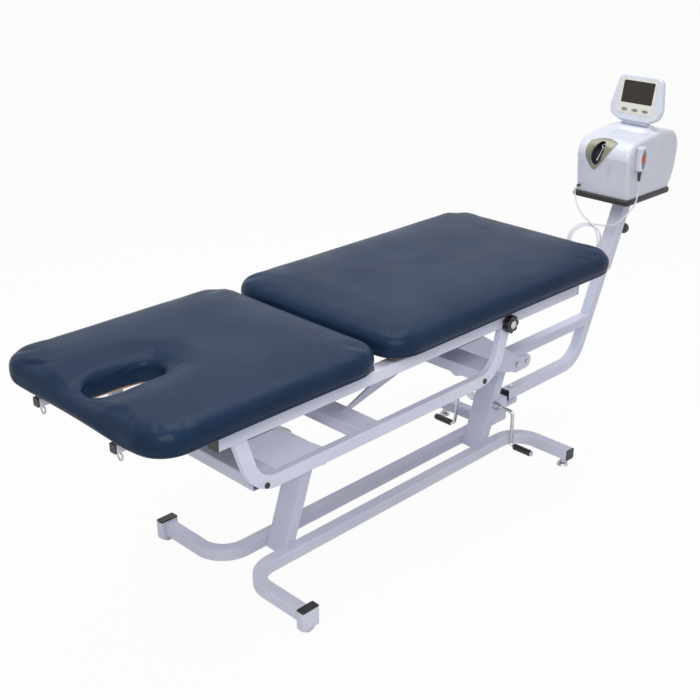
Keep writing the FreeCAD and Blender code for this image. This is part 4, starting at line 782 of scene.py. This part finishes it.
@dataclass
class FaceSlot:
    """The slot for the face in the head cushion, in workshop millimetres; the foam sinks round it."""

    head_x: float = -824.0
    head_radius: float = 56.0
    foot_x: float = -709.0
    foot_radius: float = 48.0
    flare: float = 18.0
    bottom: float = 688.0
    top: float = 753.0
    sunk: float = 13.0
    sunk_reach: float = 85.0
    cut_below: float = 12.0
    cut_above: float = 25.0
    wall_ring: float = 10.0
    rim_gap: float = 0.5
    rim_steps: int = 8
    steps: int = 18

    def sink(self, x: float, y: float) -> float:
        """Tell how much lower the pad's top lies near the slot.

        Args:
            x: Place along the couch.
            y: Place across the couch.

        Returns:
            The depth in millimetres.
        """
        share = min(1.0, max(0.0, (x - self.head_x) / (self.foot_x - self.head_x)))
        radius = self.head_radius + share * (self.foot_radius - self.head_radius)
        centre = self.head_x + share * (self.foot_x - self.head_x)
        distance = math.hypot(x - centre, y) - radius - self.flare
        return self.sunk * (1.0 - smooth_step(distance / self.sunk_reach))

    def ring(self, grow: float, z: float) -> list[Vector]:
        """Outline of the slot at a height, seen from above.

        Args:
            grow: How far the outline stands outside the slot's own sides.
            z: Height of the ring.

        Returns:
            The ring's points in metres.
        """
        head = self.head_radius + grow
        foot = self.foot_radius + grow
        turn = math.acos((foot - head) / (self.foot_x - self.head_x))
        points = []
        for step in range(self.steps + 1):
            angle = -(math.pi - turn) + 2.0 * (math.pi - turn) * step / self.steps
            points.append(place(self.foot_x + foot * math.cos(angle), foot * math.sin(angle), z))
        for step in range(self.steps + 1):
            angle = (math.pi - turn) + 2.0 * turn * step / self.steps
            points.append(place(self.head_x + head * math.cos(angle), head * math.sin(angle), z))
        return points

    def cutter(self) -> Object:
        """Make the solid that cuts the slot, with a rolled upper rim.

        Returns:
            The cutter object.
        """
        rim = self.top - self.flare
        wall = (self.bottom - self.cut_below, self.bottom + self.wall_ring, rim)
        rings = [self.ring(0.0, z) for z in wall]
        for step in range(1, self.rim_steps + 1):
            angle = math.pi / 2 * step / self.rim_steps
            grow = self.flare * (1.0 - math.cos(angle))
            rings.append(self.ring(grow, rim + self.flare * math.sin(angle)))
        rings.append(self.ring(self.flare + self.rim_gap, self.top + self.cut_above))
        build = bmesh.new()
        skin_rings(build, rings)
        return mesh_piece("slot_cutter", build)


@dataclass
class Cushion:
    """One upholstered pad: crowned, bull-nosed, and drawn in along its sides between the corners."""

    name: str
    node: str
    body: str
    span: Pair
    bottom: float
    slot: FaceSlot | None = None
    width: float = 703.0
    nose_height: float = 71.0
    nose_depth: float = 32.0
    crown: float = 8.0
    crown_start: float = 8.0
    crown_reach: float = 150.0
    corner: float = 102.0
    pull: float = 4.0
    pull_reach: float = 180.0
    pull_corner: float = 0.6
    ripple: float = 0.7
    ripple_length: float = 190.0
    ripple_shift: float = 300.0
    start_inset: float = 1.5
    edge_stops: tuple[float, ...] = (0.0, 4.0, 9.0, 15.0, 22.0, 32.0, 44.0, 60.0, 80.0)
    grid_step: float = 24.0
    levels: tuple[float, ...] = (-1.0, -0.8, -0.55, -0.28, 0.0, 0.28, 0.55, 0.8, 1.0)
    voxel: float = 0.007
    ease_share: float = 0.5
    ease_rounds: int = 14
    held_height: float = 0.012
    pressure: float = 4.0
    most_puff: float = 0.005
    quality: int = 4
    frames: int = 20

    def stops(self, length: float) -> list[float]:
        """Grid lines along one side, close together near the ends.

        Args:
            length: Length of the side.

        Returns:
            Distances from one end of the side.
        """
        near = [*self.edge_stops, self.corner]
        middle = length - 2.0 * near[-1]
        count = max(2, round(middle / self.grid_step))
        inner = [near[-1] + middle * step / count for step in range(1, count)]
        return near + inner + [length - stop for stop in reversed(near)]

    def plan(self, flat: Pair, half: Pair, drawn: float) -> list[float]:
        """Place a point as seen from above, with rounded corners and sides drawn in between them.

        Args:
            flat: Place on the plain box, from its middle.
            half: Half the length and half the width of the pad.
            drawn: Distance that the point keeps from the pad's edge.

        Returns:
            Distances along and across from the pad's middle.
        """
        depth = [half[axis] - abs(flat[axis]) for axis in (0, 1)]
        out = [self.corner - depth[axis] for axis in (0, 1)]
        sign = [math.copysign(1.0, flat[axis]) for axis in (0, 1)]
        spot = [0.0, 0.0]
        if out[0] > 0.0 and out[1] > 0.0:
            distance = math.hypot(*out)
            for axis in (0, 1):
                hub = half[axis] - self.corner
                spot[axis] = sign[axis] * (hub + out[axis] / distance * (self.corner - drawn))
        else:
            edge = 0 if depth[0] < depth[1] else 1
            spot[edge] = sign[edge] * (half[edge] - drawn)
            spot[1 - edge] = flat[1 - edge]
        for axis in (0, 1):
            other = 1 - axis
            share = min(1.0, abs(spot[other]) / (half[other] - self.corner * self.pull_corner))
            near = max(0.0, 1.0 - (half[axis] - abs(spot[axis])) / self.pull_reach)
            spot[axis] -= sign[axis] * self.pull * (1.0 - share ** 2) * near
        return spot

    def shaped(self, along: float, across: float, level: float, size: Pair) -> Vector:
        """Move a point of a plain box to its place on the pad.

        Args:
            along: Distance from the head end of the pad.
            across: Distance from the near side of the pad.
            level: From -1 at the underside to 1 at the top.
            size: Length and width of the pad.

        Returns:
            The point in metres.
        """
        half = (size[0] / 2, size[1] / 2)
        flat = (along - half[0], across - half[1])
        drawn = min(half[axis] - abs(flat[axis]) for axis in (0, 1))
        run = max(0.0, 1.0 - drawn / self.nose_depth)
        reach = math.hypot(run, level)
        ease = max(run, abs(level)) / reach if reach else 1.0
        if run > 0.0:
            drawn = self.nose_depth * (1.0 - run * ease)
        spot = self.plan(flat, half, drawn)
        x = (self.span[0] + self.span[1]) / 2 + spot[0]
        height = level * ease * self.nose_height / 2
        if height > 0.0:
            rise = self.crown * smooth_step((drawn - self.crown_start) / self.crown_reach)
            if self.slot:
                rise -= self.slot.sink(x, spot[1])
            height += rise * height / (self.nose_height / 2)
            length = self.ripple_length
            wave = Vector((spot[0] / length, spot[1] / length, self.span[0] / self.ripple_shift))
            height += self.ripple * noise.noise(wave)
        return place(x, spot[1], self.bottom + self.nose_height / 2 + height)

    def shell(self) -> Object:
        """Build the closed skin of the pad.

        Returns:
            The pad's object.
        """
        size = (self.span[1] - self.span[0] - 2 * self.start_inset, self.width - 2 * self.start_inset)
        along = self.stops(size[0])
        across = self.stops(size[1])
        build = bmesh.new()
        known: dict[tuple[int, int, int], bmesh.types.BMVert] = {}

        def corner(i: int, j: int, k: int) -> bmesh.types.BMVert:
            """Fetch or make the vertex at a grid place."""
            if (i, j, k) not in known:
                known[(i, j, k)] = build.verts.new(self.shaped(along[i], across[j], self.levels[k], size))
            return known[(i, j, k)]

        last = (len(along) - 1, len(across) - 1, len(self.levels) - 1)
        squares = ((0, 0), (1, 0), (1, 1), (0, 1))
        for i in range(last[0]):
            for j in range(last[1]):
                for k in (0, last[2]):
                    build.faces.new([corner(i + a, j + b, k) for a, b in squares])
        for k in range(last[2]):
            for i in range(last[0]):
                for j in (0, last[1]):
                    build.faces.new([corner(i + a, j, k + b) for a, b in squares])
            for j in range(last[1]):
                for i in (0, last[0]):
                    build.faces.new([corner(i, j + a, k + b) for a, b in squares])
        return mesh_piece(self.name, build)

    def cut_slot(self, pad: Object) -> None:
        """Cut the face slot through the pad.

        Args:
            pad: The pad's object.
        """
        cutter = self.slot.cutter()
        cut = pad.modifiers.new("slot", "BOOLEAN")
        cut.operation = "DIFFERENCE"
        cut.solver = "EXACT"
        cut.object = cutter
        settle(pad)
        mesh = cutter.data
        bpy.data.objects.remove(cutter)
        bpy.data.meshes.remove(mesh)

    def puff(self, pad: Object) -> None:
        """Let the foam press the cover outwards, and keep the underside flat.

        Args:
            pad: The pad's object.
        """
        fine = pad.modifiers.new("even", "REMESH")
        fine.mode = "VOXEL"
        fine.voxel_size = self.voxel
        fine.use_smooth_shade = True
        eased = pad.modifiers.new("ease", "SMOOTH")
        eased.factor = self.ease_share
        eased.iterations = self.ease_rounds
        settle(pad)
        flat = self.bottom / 1000.0 + self.held_height
        rest = [vertex.co.copy() for vertex in pad.data.vertices]
        held = pad.vertex_groups.new(name="held")
        held.add([index for index, point in enumerate(rest) if point.z < flat], 1.0, "REPLACE")
        cover = pad.modifiers.new("cover", "CLOTH")
        cover.settings.quality = self.quality
        cover.settings.use_pressure = True
        cover.settings.uniform_pressure_force = self.pressure
        cover.settings.effector_weights.gravity = 0.0
        cover.settings.vertex_group_mass = held.name
        cover.point_cache.frame_start = 1
        cover.point_cache.frame_end = self.frames
        for step in range(1, self.frames + 1):
            bpy.context.scene.frame_set(step)
        settle(pad)
        bpy.context.scene.frame_set(1)
        pad.vertex_groups.clear()
        for vertex, start in zip(pad.data.vertices, rest):
            moved = vertex.co - start
            if moved.length > self.most_puff:
                vertex.co = start + moved.normalized() * self.most_puff

    def build(self, painter: Painter) -> Object:
        """Build, puff and dress the pad.

        Args:
            painter: Who lays the finish.

        Returns:
            The pad's object.
        """
        pad = self.shell()
        if self.slot:
            self.cut_slot(pad)
        self.puff(pad)
        finer = pad.modifiers.new("finer", "SUBSURF")
        finer.levels = 1
        finer.render_levels = 1
        for face in pad.data.polygons:
            face.use_smooth = True
        painter.lay(pad, VINYL_NAVY)
        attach(pad, self.body)
        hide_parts(self.node)
        LOG.info("%s has %d faces", self.name, len(pad.data.polygons))
        return pad


@dataclass
class Lead:
    """The hand switch's lead: plug, hanging coil and rise to the switch, in workshop millimetres."""

    diameter: float = 5.0
    length: float = 1.933
    coil_centre: Point = (1238.0, 32.0, 622.0)
    coil_across: Pair = (0.709, -0.705)
    coil_radii: Pair = (46.0, 60.0)
    coil_pitch: float = 8.0
    coil_start: float = 20.0
    coil_turns: float = 3.0 + 290.0 / 360.0
    coil_entry: float = 42.0
    points_per_turn: int = 16
    heading_turn: float = 0.001
    round_steps: int = 5
    line_steps: int = 6
    line_order: int = 3
    plug: Point = (1248.0, 91.0, 811.0)
    switch: Point = (1310.0, -121.0, 858.0)
    upper: tuple[Point, ...] = (
        (1234.0, 91.0, 811.0),
        (1233.0, 86.0, 782.0),
        (1227.0, 70.0, 750.0),
        (1226.0, 46.0, 718.0),
    )
    lower: tuple[Point, ...] = (
        (1276.0, 10.0, 677.0),
        (1274.0, -22.0, 680.0),
        (1262.0, -60.0, 692.0),
        (1257.0, -93.0, 714.0),
        (1270.0, -115.0, 745.0),
        (1298.0, -126.0, 778.0),
        (1310.0, -123.0, 818.0),
    )

    def coil_point(self, turn: float) -> Vector:
        """Find the point of the coil after a number of turns.

        Args:
            turn: Turns from the coil's start.

        Returns:
            The point in workshop millimetres.
        """
        across = Vector((*self.coil_across, 0.0)).normalized()
        axis = -Vector((0.0, 0.0, 1.0)).cross(across)
        angle = math.radians(self.coil_start) - 2.0 * math.pi * turn
        radius = self.coil_radii[0] + (self.coil_radii[1] - self.coil_radii[0]) * smooth_step(turn)
        spot = Vector(self.coil_centre) + across * (radius * math.cos(angle))
        spot += Vector((0.0, 0.0, radius * math.sin(angle)))
        return spot + axis * (self.coil_pitch * (self.coil_turns / 2 - turn))

    def route(self) -> list[Vector]:
        """Control points of the whole lead from the plug to the switch.

        Returns:
            The points in metres.
        """
        heading = (self.coil_point(self.heading_turn) - self.coil_point(-self.heading_turn)).normalized()
        entry = self.coil_point(0.0) - heading * self.coil_entry
        steps = math.ceil(self.coil_turns * self.points_per_turn)
        wound = [self.coil_point(self.coil_turns * step / steps) for step in range(steps + 1)]
        spots = [self.plug, *self.upper, entry, *wound, *self.lower, self.switch]
        return [place(*spot) for spot in spots]

    def build(self, painter: Painter) -> Object:
        """Build and dress the lead.

        Args:
            painter: Who lays the finish.

        Returns:
            The lead's curve object.
        """
        curve = bpy.data.curves.new("switch_lead", "CURVE")
        curve.dimensions = "3D"
        curve.bevel_depth = self.diameter / 2000.0
        curve.bevel_resolution = self.round_steps
        curve.resolution_u = self.line_steps
        curve.use_fill_caps = True
        spots = self.route()
        line = curve.splines.new("NURBS")
        line.points.add(len(spots) - 1)
        for point, spot in zip(line.points, spots):
            point.co = (*spot, 1.0)
        line.order_u = self.line_order
        line.use_endpoint_u = True
        line.use_smooth = True
        lead = add_object("switch_lead", curve)
        painter.lay(lead, LEAD_WHITE)
        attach(lead, "mast_head")
        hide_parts("lead_upper", "lead_coil", "lead_lower")
        LOG.info("switch_lead follows %d points", len(spots))
        return lead


@dataclass
class KnobDisc:
    """Pale disc with a cross-slotted screw on the face of the lock knob, in workshop millimetres."""

    x: float = 363.0
    face_y: float = -318.0
    z: float = 648.0
    radius: float = 12.0
    rim: tuple[Pair, ...] = ((1.0, 0.4), (1.0, -0.5), (0.93, -1.1))
    screw: tuple[Pair, ...] = ((0.62, -1.2), (0.56, -0.7), (0.50, -0.7), (0.42, -1.5))
    cross_inside: float = 0.45
    cross_cut: float = 0.28
    sides: int = 48

    def build(self, painter: Painter) -> Object:
        """Build and dress the disc.

        Args:
            painter: Who lays the finish.

        Returns:
            The disc's object.
        """
        rings = []
        for share, out in self.rim + self.screw:
            ring = []
            for step in range(self.sides):
                angle = 2.0 * math.pi * step / self.sides
                radius = self.radius * share
                if share < self.cross_inside:
                    radius *= 1.0 - self.cross_cut + self.cross_cut * abs(math.cos(2.0 * angle))
                side = radius * math.cos(angle)
                rise = radius * math.sin(angle)
                ring.append(place(self.x + side, self.face_y + out, self.z + rise))
            rings.append(ring)
        build = bmesh.new()
        skin_rings(build, rings)
        disc = mesh_piece("knob_disc", build)
        painter.lay(disc, WHEEL_GREY)
        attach(disc, "star_knob")
        LOG.info("knob_disc has %d faces", len(disc.data.polygons))
        return disc


@dataclass
class SwitchRing:
    """Raised grey oval round the stop button of the hand switch, in workshop millimetres."""

    x: float = 1310.0
    face_y: float = -133.0
    z: float = 936.0
    half: Pair = (12.5, 35.0)
    button: Pair = (9.0, 15.0)
    button_z: float = 938.0
    outer_steps: tuple[Pair, ...] = ((0.0, -1.8), (0.0, 0.3), (-0.8, 0.8))
    inner_steps: tuple[Pair, ...] = ((0.7, 0.8), (0.0, 0.5), (0.0, -1.8))
    sides: int = 64

    def ring(self, grow: float, out: float, inner: bool) -> list[Vector]:
        """One oval of points on the switch's face.

        Args:
            grow: How far the oval stands outside its own outline.
            out: Distance from the face, outwards.
            inner: Whether this is the oval round the button or the outer one.

        Returns:
            The points in metres.
        """
        half = self.button if inner else self.half
        middle = self.button_z if inner else self.z
        points = []
        for step in range(self.sides):
            angle = 2.0 * math.pi * step / self.sides
            side = (half[0] + grow) * math.cos(angle)
            rise = (half[1] + grow) * math.sin(angle)
            points.append(place(self.x + side, self.face_y - out, middle + rise))
        return points

    def build(self, painter: Painter) -> Object:
        """Build and dress the ring.

        Args:
            painter: Who lays the finish.

        Returns:
            The ring's object.
        """
        outside = [self.ring(grow, out, False) for grow, out in self.outer_steps]
        inside = [self.ring(grow, out, True) for grow, out in self.inner_steps]
        build = bmesh.new()
        skin_rings(build, outside + inside, looped=True)
        piece = mesh_piece("switch_ring", build)
        painter.lay(piece, BUTTON_GREY)
        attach(piece, "mast_head")
        LOG.info("switch_ring has %d faces", len(piece.data.polygons))
        return piece


@dataclass(frozen=True)
class Lamp:
    """One square soft lamp, in metres and watts."""

    name: str
    spot: Point
    aim: Point
    size: float
    power: float
    tint: Colour

    def hang(self) -> None:
        """Hang the lamp in the scene."""
        data = bpy.data.lights.new(self.name, "AREA")
        data.size = self.size
        data.energy = self.power
        data.color = self.tint
        lamp = add_object(self.name, data)
        lamp.location = self.spot
        way = Vector(self.aim) - Vector(self.spot)
        lamp.rotation_euler = way.to_track_quat("-Z", "Y").to_euler()


@dataclass
class Studio:
    """Pale floor, soft lamps, white surroundings and the camera."""

    eye: Point = (-2.453504, -2.14624, 1.91973)
    tilt: float = 66.13
    turn: float = -44.85
    lens: float = 58.16
    sensor: float = 36.0
    far_clip: float = 200.0
    floor_half: float = 30.0
    floor_drop: float = 0.0005
    floor_tone: Colour = (0.80, 0.80, 0.81)
    floor_glow: float = 0.95
    floor_rough: float = 0.9
    sky: float = 0.42
    sky_tone: Colour = (0.95, 0.96, 1.0)
    lamps: tuple[Lamp, ...] = (
        Lamp("key", (-2.6, -2.6, 3.4), (0.0, 0.0, 0.5), size=1.6, power=95.0, tint=(1.0, 0.96, 0.90)),
        Lamp("top", (0.2, 0.4, 3.6), (0.1, 0.0, 0.5), size=2.4, power=62.0, tint=(0.97, 0.98, 1.0)),
    )

    def seen(self, tree: NodeTree) -> NodeSocket:
        """Tell rays that show the surroundings from rays that light the object.

        Args:
            tree: Node tree of the floor's material or the world.

        Returns:
            A socket that is 1 for camera, glossy and transmission rays.
        """
        path = tree.nodes.new("ShaderNodeLightPath")
        shown = path.outputs["Is Camera Ray"]
        for title in ("Is Glossy Ray", "Is Transmission Ray"):
            shown = combine(tree, "MAXIMUM", shown, path.outputs[title])
        return shown

    def build_camera(self) -> Object:
        """Make the camera where the photograph was taken from.

        Returns:
            The camera's object.
        """
        data = bpy.data.cameras.new("camera")
        data.lens = self.lens
        data.sensor_width = self.sensor
        data.clip_end = self.far_clip
        camera = add_object("camera", data)
        camera.location = self.eye
        camera.rotation_euler = (math.radians(self.tilt), 0.0, math.radians(self.turn))
        bpy.context.scene.camera = camera
        LOG.info("camera set")
        return camera

    def build_floor(self) -> Object:
        """Make the pale floor that keeps the object's shadow.

        Returns:
            The floor's object.
        """
        build = bmesh.new()
        half = self.floor_half
        corners = ((-half, -half), (half, -half), (half, half), (-half, half))
        build.faces.new([build.verts.new((x, y, -self.floor_drop)) for x, y in corners])
        floor = mesh_piece("floor", build)
        paint = bpy.data.materials.new("floor_white")
        paint.use_nodes = True
        tree = paint.node_tree
        shader = tree.nodes["Principled BSDF"]
        shader.inputs["Base Color"].default_value = (*self.floor_tone, 1.0)
        shader.inputs["Roughness"].default_value = self.floor_rough
        shader.inputs["Specular IOR Level"].default_value = 0.0
        glow = tree.nodes.new("ShaderNodeEmission")
        glow.inputs["Strength"].default_value = 1.0
        share = tree.nodes.new("ShaderNodeMath")
        share.operation = "MULTIPLY"
        share.inputs[1].default_value = self.floor_glow
        mix = tree.nodes.new("ShaderNodeMixShader")
        tree.links.new(self.seen(tree), share.inputs[0])
        tree.links.new(share.outputs["Value"], mix.inputs["Fac"])
        tree.links.new(shader.outputs["BSDF"], mix.inputs[1])
        tree.links.new(glow.outputs["Emission"], mix.inputs[2])
        tree.links.new(mix.outputs["Shader"], tree.nodes["Material Output"].inputs["Surface"])
        floor.data.materials.append(paint)
        LOG.info("floor laid")
        return floor

    def build_world(self) -> None:
        """Make white surroundings that light the object evenly."""
        world = bpy.data.worlds.new("studio")
        world.use_nodes = True
        tree = world.node_tree
        light = tree.nodes["Background"]
        light.inputs["Color"].default_value = (*self.sky_tone, 1.0)
        light.inputs["Strength"].default_value = self.sky
        white = tree.nodes.new("ShaderNodeBackground")
        white.inputs["Strength"].default_value = 1.0
        white.inputs["Color"].default_value = (1.0, 1.0, 1.0, 1.0)
        mix = tree.nodes.new("ShaderNodeMixShader")
        tree.links.new(self.seen(tree), mix.inputs["Fac"])
        tree.links.new(light.outputs["Background"], mix.inputs[1])
        tree.links.new(white.outputs["Background"], mix.inputs[2])
        tree.links.new(mix.outputs["Shader"], tree.nodes["World Output"].inputs["Surface"])
        bpy.context.scene.world = world

    def build(self) -> None:
        """Build the camera, floor, surroundings and lamps."""
        bpy.context.scene.view_settings.view_transform = "Standard"
        self.build_camera()
        self.build_floor()
        self.build_world()
        for lamp in self.lamps:
            lamp.hang()
        LOG.info("%d lamps hung", len(self.lamps))


def main() -> None:
    """Build the studio, the lead, the cushions and the trim, and lay every finish."""
    logging.basicConfig(level=logging.INFO, format="%(message)s")
    painter = Painter(EffectShelf())
    Studio().build()
    Lead().build(painter)
    painter.dress_frame()
    head = Cushion("head_pad", "head_cushion", "bed", span=(-936.0, -186.0), bottom=688.0, slot=FaceSlot())
    lumbar = Cushion("lumbar_pad", "lumbar_cushion", "lumbar", span=(-176.0, 884.0), bottom=688.3)
    head.build(painter)
    lumbar.build(painter)
    KnobDisc().build(painter)
    SwitchRing().build(painter)


if __name__ == "__main__":
    main()
